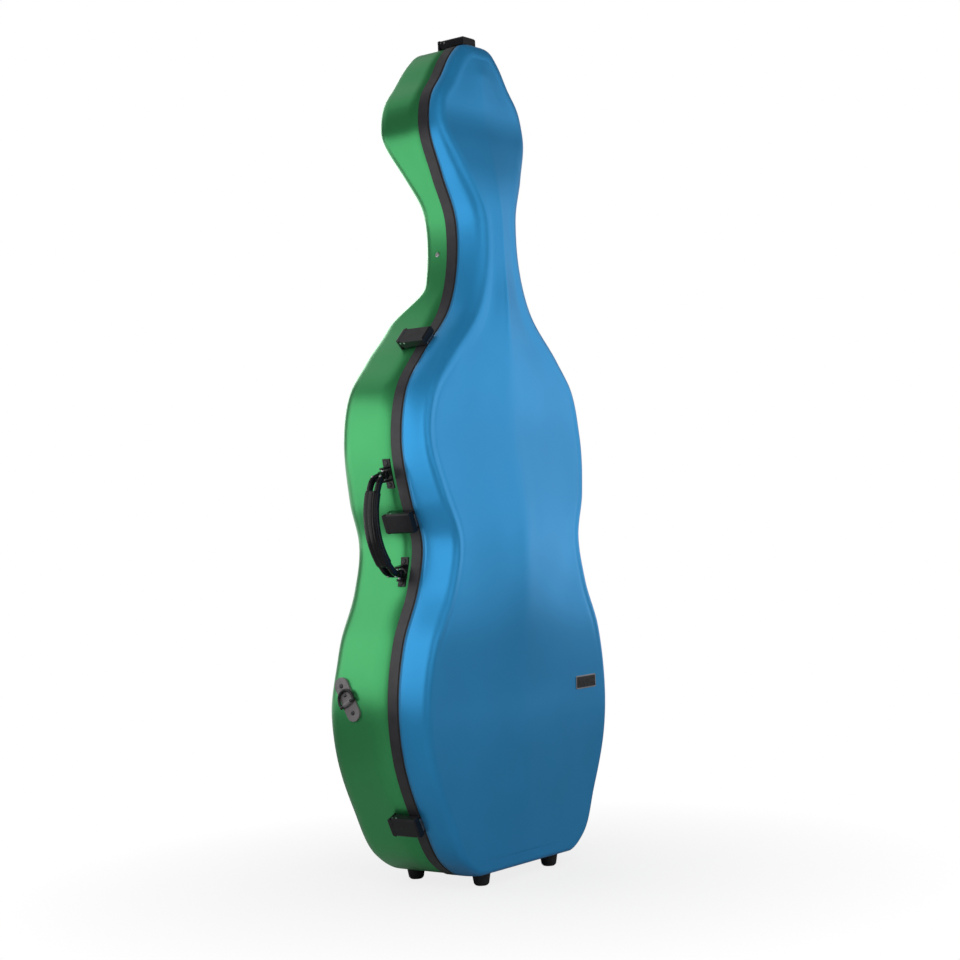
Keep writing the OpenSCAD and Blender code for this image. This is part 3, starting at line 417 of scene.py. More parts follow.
GREEN = (0.06, 0.42, 0.138)
BLUE = (0.03, 0.31, 0.66)
GREY = (0.018, 0.017, 0.02)


def lacquer(name, color, rough, metal, coat):
    """Satin lacquer with fine flake: slow tone changes, a soft orange peel and some clear coat or none."""
    mat = material(name, color, rough, metal, Specular_IOR_Level=0.4, Coat_Weight=coat, Coat_Roughness=0.3)
    feed(mat, "Base Color", ramp(mat, noise(mat, 6, 3), 0.3, 0.7, shade(color, 0.96), shade(color, 1.04)))
    feed(mat, "Roughness", ramp(mat, noise(mat, 14, 3), 0.35, 0.75, rough - 0.02, rough + 0.03))
    bump(mat, noise(mat, 160, 2), 0.02, 0.0004)
    return mat


def plastic(name, color, rough, grain=900, strength=0.12, metal=0.0, specular=0.5):
    """Moulded plastic or paint with a fine grain and worn, slightly paler patches."""
    mat = material(name, color, rough, metal, Specular_IOR_Level=specular)
    feed(mat, "Base Color", ramp(mat, noise(mat, 55, 5), 0.35, 0.8, shade(color, 0.85), shade(color, 1.25)))
    feed(mat, "Roughness", ramp(mat, noise(mat, 140, 4), 0.3, 0.8, rough - 0.06, rough + 0.08))
    bump(mat, noise(mat, grain, 2), strength, 0.0003)
    return mat


def steel_like(name, color, rough):
    mat = material(name, color, rough, 1.0)
    feed(mat, "Roughness", ramp(mat, noise(mat, 300, 4, (1, 1, 12)), 0.3, 0.75, rough - 0.08, rough + 0.12))
    feed(mat, "Base Color", ramp(mat, noise(mat, 60, 3), 0.3, 0.8, shade(color, 0.88), shade(color, 1.05)))
    bump(mat, noise(mat, 700, 3, (1, 1, 18)), 0.05, 0.0002)
    return mat


def cloth(name, color, nap, sheen):
    """Plush or brushed cloth: mottled tone, a fine pile and a soft sheen."""
    mat = material(name, color, 0.95, Sheen_Weight=sheen, Sheen_Roughness=0.4)
    mat.node_tree.nodes["Principled BSDF"].inputs["Sheen Tint"].default_value = (*shade(color, 3), 1)
    feed(mat, "Base Color", ramp(mat, noise(mat, 22, 6), 0.3, 0.75, shade(color, 0.7), shade(color, 1.35)))
    bump(mat, noise(mat, nap, 3), 0.5, 0.0009)
    return mat


def weave(name, color, pitch):
    """Woven webbing: crossed ribs of warp and weft."""
    mat = material(name, color, 0.85, Sheen_Weight=0.3)
    nodes, links = mat.node_tree.nodes, mat.node_tree.links
    place = nodes.new("ShaderNodeTexCoord")
    waves = []
    for direction in ("X", "Z"):
        wave = nodes.new("ShaderNodeTexWave")
        wave.bands_direction = direction
        wave.inputs["Scale"].default_value = 1 / pitch
        links.new(place.outputs["Object"], wave.inputs["Vector"])
        waves.append(wave.outputs["Fac"])
    both = nodes.new("ShaderNodeMath")
    both.operation = "MULTIPLY"
    links.new(waves[0], both.inputs[0])
    links.new(waves[1], both.inputs[1])
    feed(mat, "Base Color", ramp(mat, both.outputs[0], 0.1, 0.9, shade(color, 0.6), shade(color, 1.7)))
    bump(mat, both.outputs[0], 0.6, 0.0006)
    return mat


mats = {
    "shell_green": lacquer("green_lacquer", GREEN, 0.36, 0.88, 0.3),
    "shell_blue": lacquer("blue_lacquer", BLUE, 0.38, 0.6, 0.0),
    "band_grey": plastic("grey_band", GREY, 0.42),
    "rim_black": plastic("black_rim", (0.012, 0.012, 0.014), 0.45),
    "seal_rubber": plastic("seal_rubber", (0.008, 0.008, 0.008), 0.7),
    "foot_rubber": plastic("foot_rubber", (0.01, 0.01, 0.01), 0.6, 600, 0.3),
    "plush": cloth("grey_plush", (0.05, 0.055, 0.07), 900, 0.6),
    "foam_cloth": cloth("foam_cover", (0.075, 0.08, 0.095), 700, 0.4),
    "webbing": weave("black_webbing", (0.012, 0.012, 0.014), 0.012),
    "button_black": plastic("black_button", (0.015, 0.015, 0.017), 0.35),
    "hinge_grey": plastic("hinge_paint", (0.09, 0.088, 0.092), 0.4, metal=0.3),
    "steel": steel_like("brushed_steel", (0.6, 0.6, 0.61), 0.3),
    "latch_black": plastic("latch_plastic", (0.007, 0.007, 0.009), 0.36, specular=0.35),
    "bracket_black": plastic("bracket_paint", (0.006, 0.006, 0.007), 0.32, specular=0.4),
    "grip_black": plastic("grip_rubber", (0.004, 0.004, 0.005), 0.24, 500, 0.1, specular=0.3),
    "plate_grey": plastic("plate_paint", (0.16, 0.15, 0.155), 0.4, metal=0.4),
    "ring_black": plastic("ring_paint", (0.012, 0.012, 0.013), 0.28, metal=0.2),
    "dark_screw": steel_like("dark_screw", (0.1, 0.1, 0.105), 0.3),
    "plate_frame": steel_like("plate_frame", (0.42, 0.42, 0.45), 0.35),
    "plate_face": plastic("plate_face", (0.01, 0.01, 0.012), 0.3),
}
slot_of = {s["node"]: s["material_slot"] for s in frame["record"]["subparts"]}
body_of = {n: b for b, names in frame["record"]["behaviour"]["bodies"].items() for n in names}


def finish_with(obj, mat):
    obj.data.materials.clear()
    obj.data.materials.append(mats[mat])


def stand_for(obj, node, mat=None):
    """A piece that stands for a CAD node: it rides on its body and takes its finish."""
    finish_with(obj, mat or slot_of[node])
    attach(obj, body_of[node])
    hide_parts(node)
    return obj


def add_to(obj, node, mat):
    """A small extra piece on the body of a CAD node."""
    finish_with(obj, mat)
    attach(obj, body_of[node])
    return obj


def bevelled(obj, width, segments=2, angle=35):
    mod = obj.modifiers.new("edges", "BEVEL")
    mod.width = width * MM
    mod.segments = segments
    mod.limit_method = "ANGLE"
    mod.angle_limit = math.radians(angle)
    return obj


def by_angle(obj, angle):
    smoothed(obj).data.set_sharp_from_angle(angle=math.radians(angle))
    return obj


# Shells and rims
shell = tray("green_base", base_rings(0, BASE_EDGE, 12), base_rings(WALL, BASE_EDGE, 6), True)
stand_for(shell, "base_shell")
shell = tray("blue_lid", lid_rings(0, LID_EDGE, 15), lid_rings(WALL, LID_EDGE, 15), False, True)
stand_for(shell, "lid_shell")

band = hoop("edge_band", [
    (0.0, SEAL_BASE + 0.3), (0.3, SEAL_BASE), (9.4, SEAL_BASE), (9.4, BASE_EDGE), (6.2, BASE_EDGE),
    (6.2, LEG_H), (4.6, LEG_H), (4.6, BASE_EDGE), (RIM_T, BASE_EDGE), (RIM_T, SEAL_BASE + BAND_H),
    (0.5, SEAL_BASE + BAND_H), (0.0, SEAL_BASE + BAND_H - 0.5)])
stand_for(by_angle(band, 40), "base_rim")
lid_band = hoop("lid_edge_profile", [
    (0.0, -LID_EDGE), (0.0, -SEAL_LID - 0.2), (0.2, -SEAL_LID), (10.0, -SEAL_LID), (10.0, 6.8), (10.2, 7.0),
    (11.4, 7.0), (11.6, 6.8), (11.6, -LID_LEG), (10.0, -LID_LEG), (10.0, -LID_EDGE), (4.6, -LID_EDGE),
    (4.6, -LID_LEG), (3.0, -LID_LEG), (3.0, -LID_EDGE)])
stand_for(by_angle(lid_band, 40), "lid_rim")

# Places on the -X side and the frames of the hardware, as in the part's source
coarse = side_line[::FINE]


def side_half(z):
    for a, b in zip(coarse, coarse[1:]):
        if a.y <= z <= b.y:
            return mix(a.x, b.x, (z - a.y) / (b.y - a.y))
    return coarse[0].x


def side_lean(z):
    return math.atan2(2 * LEAN_RUN, side_half(z - LEAN_RUN) - side_half(z + LEAN_RUN))


def on_left(z, y):
    return Matrix.Translation((-side_half(z), y + SEAM_Y, z)) @ Matrix.Rotation(-side_lean(z), 4, "Y")


def turned(axis, degrees):
    return Matrix.Rotation(math.radians(degrees), 4, axis)


def moved(x, y, z):
    return Matrix.Translation((x, y, z))


def placed(name, points, faces, matrix):
    """A mesh whose points, in millimetres, are set in a frame of the part."""
    return mesh_object(name, [(matrix @ Vector(p)) * MM for p in points], faces)


def merged(name, objects):
    """One object from several meshes."""
    bm = bmesh.new()
    for o in objects:
        bm.from_mesh(o.data)
        bpy.data.objects.remove(o)
    mesh = bpy.data.meshes.new(name)
    bm.to_mesh(mesh)
    bm.free()
    return linked(name, mesh)


def lathe(profile, matrix, name="lathe"):
    """A profile of (radius, height) turned about the frame's Z, with a face over each end."""
    around = 32
    points = []
    for r, z in profile:
        for k in range(around):
            a = 2 * math.pi * k / around
            points.append((r * math.cos(a), r * math.sin(a), z))
    return placed(name, points, capped(len(profile), around), matrix)


def screw_head(matrix, r, h, turn=20.0, cross=True):
    """A domed head; its cross recess is pressed into a polar grid."""
    rings, around = 14, 48
    points = [(0, 0, h - (0.5 * h if cross else 0))]
    for j in range(1, rings + 1):
        q = j / rings
        for k in range(around):
            a = 2 * math.pi * k / around
            x, y = q * r * math.cos(a), q * r * math.sin(a)
            z = h * math.sqrt(max(0, 1 - 0.94 * q ** 4))
            if cross:
                u, v = abs(x) / r, abs(y) / r
                arm = min(max(u / 0.6, v / 0.15), max(u / 0.15, v / 0.6))
                z -= 0.5 * h * (1 - ease((arm - 0.75) / 0.5))
            points.append((x, y, z))
    points += [(r * math.cos(2 * math.pi * k / around), r * math.sin(2 * math.pi * k / around), 0)
               for k in range(around)]
    faces = [(0, 1 + k, 1 + (k + 1) % around) for k in range(around)]
    faces += [tuple(1 + i for i in reversed(f)) for f in bands(rings + 1, around)]
    return placed("screw", points, faces, matrix @ turned("Z", turn))


# The least angle, in degrees, between faces that counts as an edge of a CAD node
SHARP = 28


def soften(node, width, segments=2):
    """A copy of a CAD node with merged faces and small rounded edges."""
    bm = bmesh.new()
    bm.from_mesh(frame["nodes"][node].data)
    bmesh.ops.remove_doubles(bm, verts=bm.verts, dist=2e-6)
    bmesh.ops.dissolve_limit(bm, angle_limit=math.radians(0.6), verts=bm.verts, edges=bm.edges)
    mesh = bpy.data.meshes.new(node + "_rounded")
    bm.to_mesh(mesh)
    bm.free()
    obj = by_angle(linked(node + "_rounded", mesh), SHARP)
    return stand_for(bevelled(obj, width, segments, SHARP), node)


def cushioned(node, voxel, rounds, name):
    """A foam piece: the CAD solid remeshed evenly, with its edges worn round."""
    obj = linked(name, frame["nodes"][node].data.copy())
    mod = obj.modifiers.new("even", "REMESH")
    mod.mode = "VOXEL"
    mod.voxel_size = voxel * MM
    mod = obj.modifiers.new("round", "SMOOTH")
    mod.factor = 0.5
    mod.iterations = rounds
    graph = bpy.context.evaluated_depsgraph_get()
    mesh = bpy.data.meshes.new_from_object(obj.evaluated_get(graph))
    obj.modifiers.clear()
    obj.data = mesh
    stand_for(smoothed(obj), node)


PLACES = ("top", "shoulder", "waist", "lower")
THIRDS = ("lower", "middle", "upper")
ON = {"top": moved(0, SEAM_Y, CASE_H)}
for place, height in zip(PLACES[1:], (850, 573, 111)):
    ON[place] = on_left(height, 0)

# Rubber seal with a rounded top that leaves room for the catches
CATCH_HALF, CATCH_REACH = 10.6, 16
seal = hoop("seal_profile", [
    (1.0, -0.9), (2.2, -1.2), (7.2, -1.2), (8.4, -0.9), (8.6, -0.4), (8.6, 0.8), (0.8, 0.8), (0.8, -0.4)])
bm = bmesh.new()
bm.from_mesh(seal.data)
in_the_way = []
for face in bm.faces:
    spots = [ON[place].inverted() @ (face.calc_center_median() / MM) for place in PLACES]
    if any(abs(q.x) < CATCH_HALF and abs(q.z) < CATCH_REACH for q in spots):
        in_the_way.append(face)
bmesh.ops.delete(bm, geom=in_the_way, context="FACES")
bm.to_mesh(seal.data)
bm.free()
stand_for(by_angle(seal, 40), "seal_gasket")

# Plush linings and foam pieces
skins = [base_rings(t, LEG_H + SOFT_GAP, 10) for t in (INSIDE, INSIDE + LINING_T)]
stand_for(tray("base_plush", *skins, True), "base_lining")
skins = [lid_rings(t, LID_LEG + SOFT_GAP, 10) for t in (INSIDE, INSIDE + LINING_T)]
stand_for(tray("lid_plush", *skins, False), "lid_lining")
cushioned("neck_cradle", 2.0, 6, "neck_cradle_pad")
cushioned("lower_block", 3.0, 6, "lower_block_pad")
cushioned("bow_rests", 1.2, 4, "bow_rest_pads")

PAD_PLACES = ((-116, 205), (116, 205), (-104, UPPER_Z + 12), (104, UPPER_Z + 12))
# Half width, half height and thickness; how square the corners are and how far the sides are pulled in
PAD_W, PAD_H, PAD_T = 41.6, 53.6, 21.6
SQUARE, PULL_IN = 0.42, 0.045
# The foot's share of the rows and of the thickness, and how far it is drawn in
FOOT_SHARE, FOOT_RISE, FOOT_IN = 0.25, 0.55, 0.02
PIPE_R, PIPE_X, PIPE_Y, PIPE_AROUND = 1.5, 0.034, 0.028, 8


def pad_rim(a, share):
    """A place on the cushion's rim; share goes from 0 at the foot to 1 in the middle of the top."""
    c, s = math.cos(a), math.sin(a)
    x = PAD_W * math.copysign(abs(c) ** SQUARE, c)
    y = PAD_H * math.copysign(abs(s) ** SQUARE, s)
    pull = 1 - PULL_IN * (1 - abs(math.sin(2 * a))) * (1 - 0.3 * share)
    return x * pull, y * pull


def pad_form(x, z):
    """A crowned cushion, pulled in between its corners, with a piped seam at its foot."""
    at = moved(x, base_d(z) - LINED + SEAM_Y, z) @ turned("X", 90)
    around, rows = 96, 14
    turns = [2 * math.pi * k / around for k in range(around)]
    points = []
    for j in range(rows + 1):
        q = j / rows
        if q < FOOT_SHARE:
            u = q / FOOT_SHARE
            grow, up = 1 - FOOT_IN * u, PAD_T * FOOT_RISE * u
        else:
            a = (q - FOOT_SHARE) / (1 - FOOT_SHARE) * math.pi / 2
            grow = (1 - FOOT_IN) * math.cos(a) ** 0.55
            up = PAD_T * (FOOT_RISE + (1 - FOOT_RISE) * math.sin(a) ** 0.6)
        for turn in turns:
            bx, by = pad_rim(turn, q)
            points.append((bx * grow, by * grow, up))
    body = placed("pad", points, bands(rows + 1, around) + [tuple(range(around))[::-1]], at)
    points = []
    for turn in turns:
        bx, by = pad_rim(turn, 0)
        for m in range(PIPE_AROUND):
            b = 2 * math.pi * m / PIPE_AROUND
            points.append((bx * (1 + PIPE_X * math.cos(b)) * (1 - PIPE_X),
                           by * (1 + PIPE_Y * math.cos(b)) * (1 - PIPE_Y), PIPE_R * (1 + math.sin(b))))
    loops = [f[::-1] for f in bands(around, PIPE_AROUND, closed=True)]
    return [body, placed("piping", points, loops, at)]


pads = merged("bout_cushions", [o for x, z in PAD_PLACES for o in pad_form(x, z)])
stand_for(smoothed(pads), "bout_pads")

# Hardware, neck strap and bow pieces with small rounded edges
soften("base_feet", 0.8, segments=3)
soften("lid_feet", 0.8, segments=3)
soften("neck_strap", 0.4)
soften("bow_frog_holder_left", 0.8)
soften("bow_frog_holder_right", 0.8)
soften("bow_spinner_left", 0.6)
soften("bow_spinner_right", 0.6)
for third in THIRDS:
    soften("hinge_base_leaf_" + third, 0.3)
    soften("hinge_lid_leaf_" + third, 0.3)
    soften("hinge_pin_" + third, 0.25)
for place in PLACES:
    soften("latch_base_" + place, 0.4)
    soften("latch_lever_" + place, 0.7, segments=3)
    soften("latch_catch_" + place, 0.2)
    soften("latch_pin_" + place, 0.2)
    finish_with(frame["nodes"]["latch_bail_" + place], "steel")
soften("handle_bracket_upper", 0.35)
soften("handle_bracket_lower", 0.35)
soften("handle_pins", 0.3)
for side in ("left", "right"):
    soften("ring_plate_" + side, 0.4)
    soften("strap_ring_" + side, 0.2)

# Ends of the pivot pins in the covers' sides and a small moulding mark on the covers but the top one
PIVOT_Y, PIVOT_Z, COVER_HALF, COVER_H, MARK_Y = 36.5, 11.2, 16, 15.6, 29
for place in PLACES:
    ends = []
    for s in (-1, 1):
        at = ON[place] @ moved(s * COVER_HALF, PIVOT_Y, PIVOT_Z) @ turned("Y", 90 * s)
        ends.append(lathe([(1.5, -0.5), (1.5, 0.25), (1.2, 0.45)], at, "pin_end"))
    add_to(merged("pin_ends_" + place, ends), "latch_lever_" + place, "steel")
    if place != "top":
        at = ON[place] @ moved(0, MARK_Y, COVER_H)
        mark = lathe([(1.2, -0.4), (1.2, 0.08)], at, "cover_mark_" + place)
        add_to(mark, "latch_lever_" + place, "rim_black")

# Carrying handle: a ribbed sleeve over two strands that bend back to the eyes
HANDLE_Y, LOW_Z, HIGH_Z = 32, 494, 645
HANDLE_AXIS, HANDLE_REACH = 12, 44
GRIP_W, GRIP_T, BEND_R, EYE_R, EYE_W = 24, 16, 26, 6, 16
STRAND_W, STRAND_T = 7.5, 10
STRAND_Y = (GRIP_W - STRAND_W) / 2 - 0.4
# The sleeve stops short of the arc's ends and is rounded there. Each strand starts inside it, and the
# two of an end close in on its eye.
SLEEVE_SHORT, SLEEVE_EDGE, SLEEVE_SINK, SLEEVE_R = 12, 2.4, 1.6, 5.5
RIBS, GROOVE, STRAND_IN, STRAND_R = 9, 1.1, 14, 3
CLOSE_FROM, CLOSE_RUN, RIVET_TURN = math.radians(34), math.radians(22), 62
low_end = pt(-side_half(LOW_Z), LOW_Z)
high_end = pt(-side_half(HIGH_Z), HIGH_Z)
handle_mid = (low_end + high_end) / 2
SPAN = (high_end - low_end).length
HANDLE_TILT = math.atan2(high_end.y - low_end.y, low_end.x - high_end.x)
AT_HANDLE = (moved(handle_mid.x, HANDLE_Y + SEAM_Y, handle_mid.y)
             @ Matrix.Rotation(HANDLE_TILT - math.pi, 4, "Y"))
BEND_X, BEND_N = SPAN / 2 - BEND_R, HANDLE_AXIS + 2
rise = HANDLE_AXIS + HANDLE_REACH - BEND_N
ARC_R = (BEND_X ** 2 + rise ** 2 - BEND_R ** 2) / (2 * (rise - BEND_R))
ARC_N = HANDLE_AXIS + HANDLE_REACH - ARC_R
ARC_HALF = math.asin(BEND_X / (ARC_R - BEND_R))


def loft(name, rings, matrix):
    """Closed loops joined one after another, with a face over each end."""
    return placed(name, [q for r in rings for q in r], capped(len(rings), len(rings[0])), matrix)


def round_section(w, h, r, around=96, ribs=0, groove=0.0):
    """A rounded rectangle as (w, h) places; ribs run along it between narrow grooves."""
    straight_w, straight_h, corner = w - 2 * r, h - 2 * r, math.pi * r / 2
    total = 2 * (straight_w + straight_h) + 4 * corner
    loop = []
    for i in range(around):
        s = total * i / around
        sink = groove * (1 - abs(math.sin(math.pi * ribs * i / around))) ** 2 if ribs else 0
        for side, (long, ax, ay) in enumerate((
                (straight_h, 1, 0), (straight_w, 0, 1), (straight_h, -1, 0), (straight_w, 0, -1))):
            if s <= long + corner:
                break
            s -= long + corner
        cx, cy = (straight_w / 2, straight_h / 2)
        start = ((cx, -cy), (cx, cy), (-cx, cy), (-cx, -cy))[side]
        if s <= long:
            x, y = start[0] - ay * s + ax * (r - sink), start[1] + ax * s + ay * (r - sink)
        else:
            a = math.atan2(ay, ax) + (s - long) / r
            x = start[0] - ay * long + (r - sink) * math.cos(a)
            y = start[1] + ax * long + (r - sink) * math.sin(a)
        loop.append((x, y))
    return loop


def bent(radius, cx, cn, a, section, shift=0.0):
    """A section set square on an arc in the handle's plane."""
    c, s = math.cos(a), math.sin(a)
    return [(cx + (radius + u) * c, v + shift, cn + (radius + u) * s) for u, v in section]


def sleeve():
    rings = []
    half = ARC_HALF - SLEEVE_SHORT / ARC_R
    for i in range(61):
        a = mix(-half, half, i / 60)
        edge = max(0, 1 - (half - abs(a)) * ARC_R / SLEEVE_EDGE)
        less = SLEEVE_SINK * (1 - math.sqrt(1 - edge * edge))
        section = round_section(GRIP_T - less, GRIP_W - less, SLEEVE_R - less / 2, ribs=RIBS,
                                groove=GROOVE * (1 - edge))
        rings.append(bent(ARC_R, 0, ARC_N, math.pi / 2 - a, section))
    return loft("sleeve", rings, AT_HANDLE)


def strand(side, turn):
    rings = []
    section = round_section(STRAND_T, STRAND_W, STRAND_R, around=32)
    for i in range(5):
        a = math.pi / 2 - ARC_HALF + (STRAND_IN / ARC_R) * (1 - i / 5)
        rings.append(bent(ARC_R, 0, ARC_N, a, section, side * STRAND_Y))
    first = math.pi / 2 - ARC_HALF
    for i in range(21):
        a = first * (1 - i / 20)
        close = ease((CLOSE_FROM - a) / CLOSE_RUN)
        rings.append(bent(BEND_R, BEND_X, BEND_N, a, section,
                          side * mix(STRAND_Y, EYE_W / 2 - STRAND_W / 2 - 0.1, close)))
    return loft("strand", rings, AT_HANDLE @ turned("Z", turn))


parts = [sleeve()]
for turn in (0, 180):
    parts += [strand(side, turn) for side in (-1, 1)]
    half_eye = [(EYE_R, EYE_W / 2 - 0.6), (EYE_R - 0.6, EYE_W / 2), (0.1, EYE_W / 2)]
    barrel = [(r, -h) for r, h in reversed(half_eye)] + half_eye
    at = AT_HANDLE @ turned("Z", turn) @ moved(SPAN / 2, 0, HANDLE_AXIS) @ turned("X", 90)
    parts.append(lathe(barrel, at))
stand_for(by_angle(merged("carrying_handle", parts), 50), "handle_grip")
heads = []
for turn in (0, 180):
    for side in (-1, 1):
        at = (AT_HANDLE @ turned("Z", turn) @ moved(BEND_X, side * STRAND_Y, BEND_N) @ turned("Y", RIVET_TURN)
              @ moved(0, 0, BEND_R + STRAND_T / 2 - 0.2))
        heads.append(screw_head(at, 2.2, 1.3, cross=False))
add_to(merged("handle_rivets", heads), "handle_grip", "steel")

# Screws and rivets with recessed heads
BRACKET_T, BRACKET_SCREW = 2.5, 17
FACE = BRACKET_T - RIM_T
RING_Z, RING_Y, PLATE_TILT, PLATE_SCREW, RIVET_X = 303, 100.3, 31, 23.7, 7.2
NECK_SCREW_Y = 39
BOW_X, BOW_Y, REST_Z = 60, -14, NECK_Z - 175
BUTTON_X, BUTTON_T, BUTTON_R, BUTTON_GAP, SHANK = 11, 5, 2, 0.1, 13.8
FLIP = {-1: Matrix.Identity(4), 1: Matrix.Scale(-1, 4, (1, 0, 0))}
heads = []
for z in (LOW_Z, HIGH_Z):
    for s in (-1, 1):
        at = on_left(z + s * BRACKET_SCREW * math.sin(side_lean(z)), HANDLE_Y) @ moved(0, 0, FACE)
        heads.append(screw_head(at, 3.5, 1.8, 25 * s + z))
stand_for(merged("handle_screw_heads", heads), "handle_screws", mat="dark_screw")


def at_ring(side):
    return FLIP[side] @ on_left(RING_Z, RING_Y) @ turned("Z", PLATE_TILT)


heads = []
for side in (-1, 1):
    for s in (-1, 1):
        heads.append(screw_head(at_ring(side) @ moved(PLATE_SCREW * s, 0, FACE), 3.5, 1.7, 40 + 30 * s))
    heads.append(screw_head(at_ring(side) @ moved(RIVET_X, 0, FACE), 2.6, 1.6, cross=False))
stand_for(merged("ring_screw_heads", heads), "ring_rivets", mat="dark_screw")
heads = []
for side in (-1, 1):
    at = FLIP[side] @ on_left(NECK_Z - 3, NECK_SCREW_Y) @ moved(0, 0, -RIM_T)
    heads.append(screw_head(at, 4, 1.8, 15))
stand_for(merged("neck_screw_heads", heads), "neck_screws")
heads = []
for side in (-1, 1):
    y = BOW_Y + SOFT_GAP + BUTTON_T + BUTTON_GAP + SEAM_Y
    at = moved(side * (BOW_X + BUTTON_X), y, REST_Z) @ turned("X", -90)
    heads.append(screw_head(at, 4.5, 2, 30))
    heads.append(lathe([(BUTTON_R, -SHANK), (BUTTON_R, 0)], at, "screw_shank"))
stand_for(merged("turn_button_screws", heads), "spinner_screws")


# Bare plate on the lid's face
PLATE_X, PLATE_Z = (146, 204), (283, 305)


def face_y(x, z):
    d = draft(z) + crease(z) * CREASE_RUN + along(z, COVE_W)
    return -lid_d(z) - lid_crown(x / (half_w(z) - d), z)


def plate_sheet(shrink, r, rise, name):
    """A rounded plate that lies on the lid's face."""
    x0, x1 = PLATE_X[0] + shrink, PLATE_X[1] - shrink
    z0, z1 = PLATE_Z[0] + shrink, PLATE_Z[1] - shrink
    edge, n = [], 8
    corners = ((x1 - r, z1 - r), (x0 + r, z1 - r), (x0 + r, z0 + r), (x1 - r, z0 + r))
    for quarter, (cx, cz) in enumerate(corners):
        for k in range(n + 1):
            a = math.radians(90 * quarter + 90 * k / n)
            edge.append((cx + r * math.cos(a), cz + r * math.sin(a)))
    points = [(x, face_y(x, z) + 0.5, z) for x, z in edge]
    points += [(x, face_y(x, z) - rise, z) for x, z in edge]
    m = len(edge)
    faces = [(k, (k + 1) % m, m + (k + 1) % m, m + k) for k in range(m)]
    faces.append(tuple(range(m, 2 * m)))
    obj = new_object(name, points, faces, smooth=False)
    return bevelled(obj, 0.25)


add_to(plate_sheet(0, 3, 1.0, "bare_plate_frame"), "lid_shell", "plate_frame")
add_to(plate_sheet(2, 2, 1.35, "bare_plate_face"), "lid_shell", "plate_face")

# Camera: measured from the photograph's outline
THETA, DISTANCE, EYE_H, PITCH, ROLL = math.radians(52.42), 3019.6, 565, 0.0155, 0.0442
PHOTO, FOCAL, CENTRE_X, CENTRE_Y, SENSOR = 960, 1884.2, 486.9, 551.3, 36
MIDDLE_Y = 8
eye = Vector((-DISTANCE * math.sin(THETA), -DISTANCE * math.cos(THETA) + MIDDLE_Y + SEAM_Y, EYE_H)) * MM
look = Vector((math.sin(THETA) * math.cos(PITCH), math.cos(THETA) * math.cos(PITCH), -math.sin(PITCH)))
right = Vector((math.cos(THETA), -math.sin(THETA), 0))
up = right.cross(look)
rolled_right = right * math.cos(ROLL) - up * math.sin(ROLL)
rolled_up = right * math.sin(ROLL) + up * math.cos(ROLL)
camera = linked("camera", bpy.data.cameras.new("camera"))
camera.data.lens = FOCAL / PHOTO * SENSOR
camera.data.sensor_width = SENSOR
camera.data.shift_x = (PHOTO / 2 - CENTRE_X) / PHOTO
camera.data.shift_y = (CENTRE_Y - PHOTO / 2) / PHOTO
camera.data.clip_end = 60
camera.matrix_world = Matrix((
    (rolled_right.x, rolled_up.x, -look.x, eye.x),
    (rolled_right.y, rolled_up.y, -look.y, eye.y),
    (rolled_right.z, rolled_up.z, -look.z, eye.z),
    (0, 0, 0, 1)))
scene = bpy.context.scene
scene.camera = camera
scene.view_settings.view_transform = "Standard"


def combined(tree, operation, a, b):
    node = tree.nodes.new("ShaderNodeMath")
    node.operation = operation
    tree.links.new(a, node.inputs[0])
    tree.links.new(b, node.inputs[1])
    return node.outputs[0]


def between(tree, value, low, high):
    """A node that maps low to high onto 0 to 1."""
    node = tree.nodes.new("ShaderNodeMapRange")
    node.inputs["From Min"].default_value = low
    node.inputs["From Max"].default_value = high
    tree.links.new(value, node.inputs["Value"])
    return node


def vector_value(tree, operation, vector):
    node = tree.nodes.new("ShaderNodeVectorMath")
    node.operation = operation
    tree.links.new(vector, node.inputs[0])
    return node


def white_rays(tree, vector, low, high):
    """Glossy and transmitted rays that meet the white on the far side from the camera, and camera rays."""
    along_view = vector_value(tree, "DOT_PRODUCT", vector)
    along_view.inputs[1].default_value = (math.sin(THETA), math.cos(THETA), 0)
    beyond = between(tree, along_view.outputs["Value"], low, high)
    path = tree.nodes.new("ShaderNodeLightPath")
    glossy = combined(tree, "MAXIMUM", path.outputs["Is Glossy Ray"], path.outputs["Is Transmission Ray"])
    return combined(tree, "MULTIPLY", glossy, beyond.outputs["Result"]), path.outputs["Is Camera Ray"]


def blended(tree, share, a, b, end):
    node = tree.nodes.new("ShaderNodeMixShader")
    tree.links.new(share, node.inputs["Fac"])
    tree.links.new(a, node.inputs[1])
    tree.links.new(b, node.inputs[2])
    tree.links.new(node.outputs[0], tree.nodes[end].inputs["Surface"])


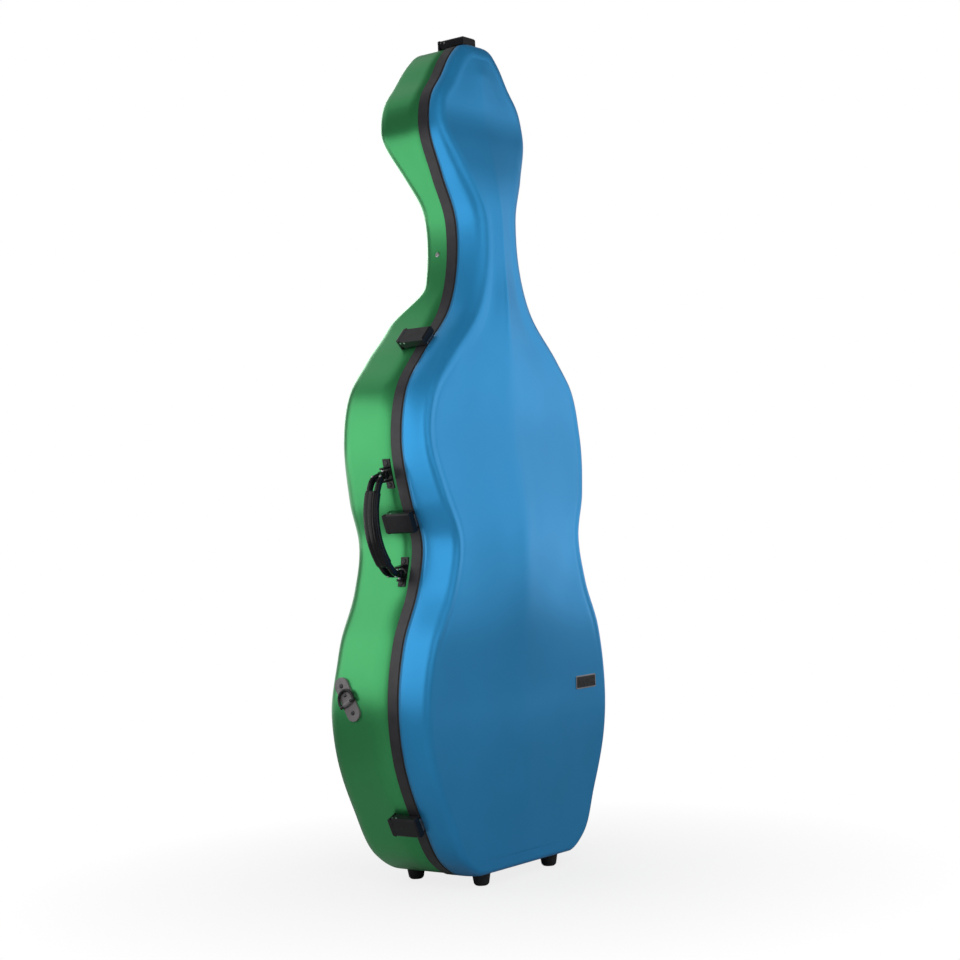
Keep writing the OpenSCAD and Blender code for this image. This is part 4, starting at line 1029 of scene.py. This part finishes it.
# Floor that keeps the shadow and fades to white away from the case
FLOOR = 40
floor = mesh_object("floor", [(x * FLOOR, y * FLOOR, 0) for x, y in ((-1, -1), (1, -1), (1, 1), (-1, 1))],
                    [(0, 1, 2, 3)], smooth=False)
floor_mat = material("pale_floor", (0.42, 0.42, 0.42), 0.9, Specular_IOR_Level=0.1)
tree = floor_mat.node_tree
glow = tree.nodes.new("ShaderNodeEmission")
glow.inputs["Color"].default_value = (1, 1, 1, 1)
spot = tree.nodes.new("ShaderNodeTexCoord").outputs["Object"]
fade = between(tree, vector_value(tree, "LENGTH", spot).outputs["Value"], 0.15, 0.75)
fade.inputs["To Min"].default_value = 0.82
glossy, seen = white_rays(tree, spot, 1.5, 3.0)
share = combined(tree, "MAXIMUM", combined(tree, "MULTIPLY", fade.outputs["Result"], seen), glossy)
blended(tree, share, tree.nodes["Principled BSDF"].outputs[0], glow.outputs[0], "Material Output")
floor.data.materials.append(floor_mat)

# World: white where the camera and far reflections see it, and a dim even light elsewhere
world = bpy.data.worlds.new("studio")
scene.world = world
world.use_nodes = True
tree = world.node_tree
soft = tree.nodes["Background"]
soft.inputs["Color"].default_value = (1, 1, 1, 1)
soft.inputs["Strength"].default_value = 0.12
white = tree.nodes.new("ShaderNodeBackground")
white.inputs["Color"].default_value = (1, 1, 1, 1)
white.inputs["Strength"].default_value = 1.0
way = tree.nodes.new("ShaderNodeTexCoord").outputs["Generated"]
glossy, seen = white_rays(tree, way, 0.75, 0.95)
blended(tree, combined(tree, "MAXIMUM", seen, glossy), soft.outputs[0], white.outputs[0], "World Output")


def lamp(name, place, aim, size, power, mirrored=True):
    """A lamp that the camera doesn't see; mirrored says whether shiny pieces show it."""
    light = bpy.data.lights.new(name, "AREA")
    light.shape = "RECTANGLE"
    light.size, light.size_y = size
    light.energy = power
    obj = linked(name, light)
    obj.location = place
    obj.rotation_mode = "QUATERNION"
    obj.rotation_quaternion = (Vector(aim) - Vector(place)).to_track_quat("-Z", "Y")
    obj.visible_camera = False
    obj.visible_glossy = mirrored


lamp("side_box", (-0.7, 0.235, 0.715), (-0.305, -0.07, 0.715), (1.2, 0.8), 3.3)
lamp("key_box", (-1.3, -1.4, 1.7), (0, -0.1, 1.1), (1.1, 1.1), 16, mirrored=False)
lamp("left_fill", (-1.3, -0.6, 1.1), (0, 0, 0.9), (1.0, 1.0), 7, mirrored=False)
lamp("front_wall", (-0.9, -3.3, 1.3), (0, 0, 1.3), (3.6, 1.7), 14)
lamp("front_box", (1.05, -0.9, 0.93), (0, -0.1, 0.93), (1.4, 1.3), 5.3)
lamp("top_box", (-0.15, 0.9, 2.0), (-0.13, 0, 0.87), (1.2, 1.0), 1.5)
lamp("back_fill", (1.6, 2.2, 1.6), (0, 0, 0.6), (1.6, 1.6), 20)
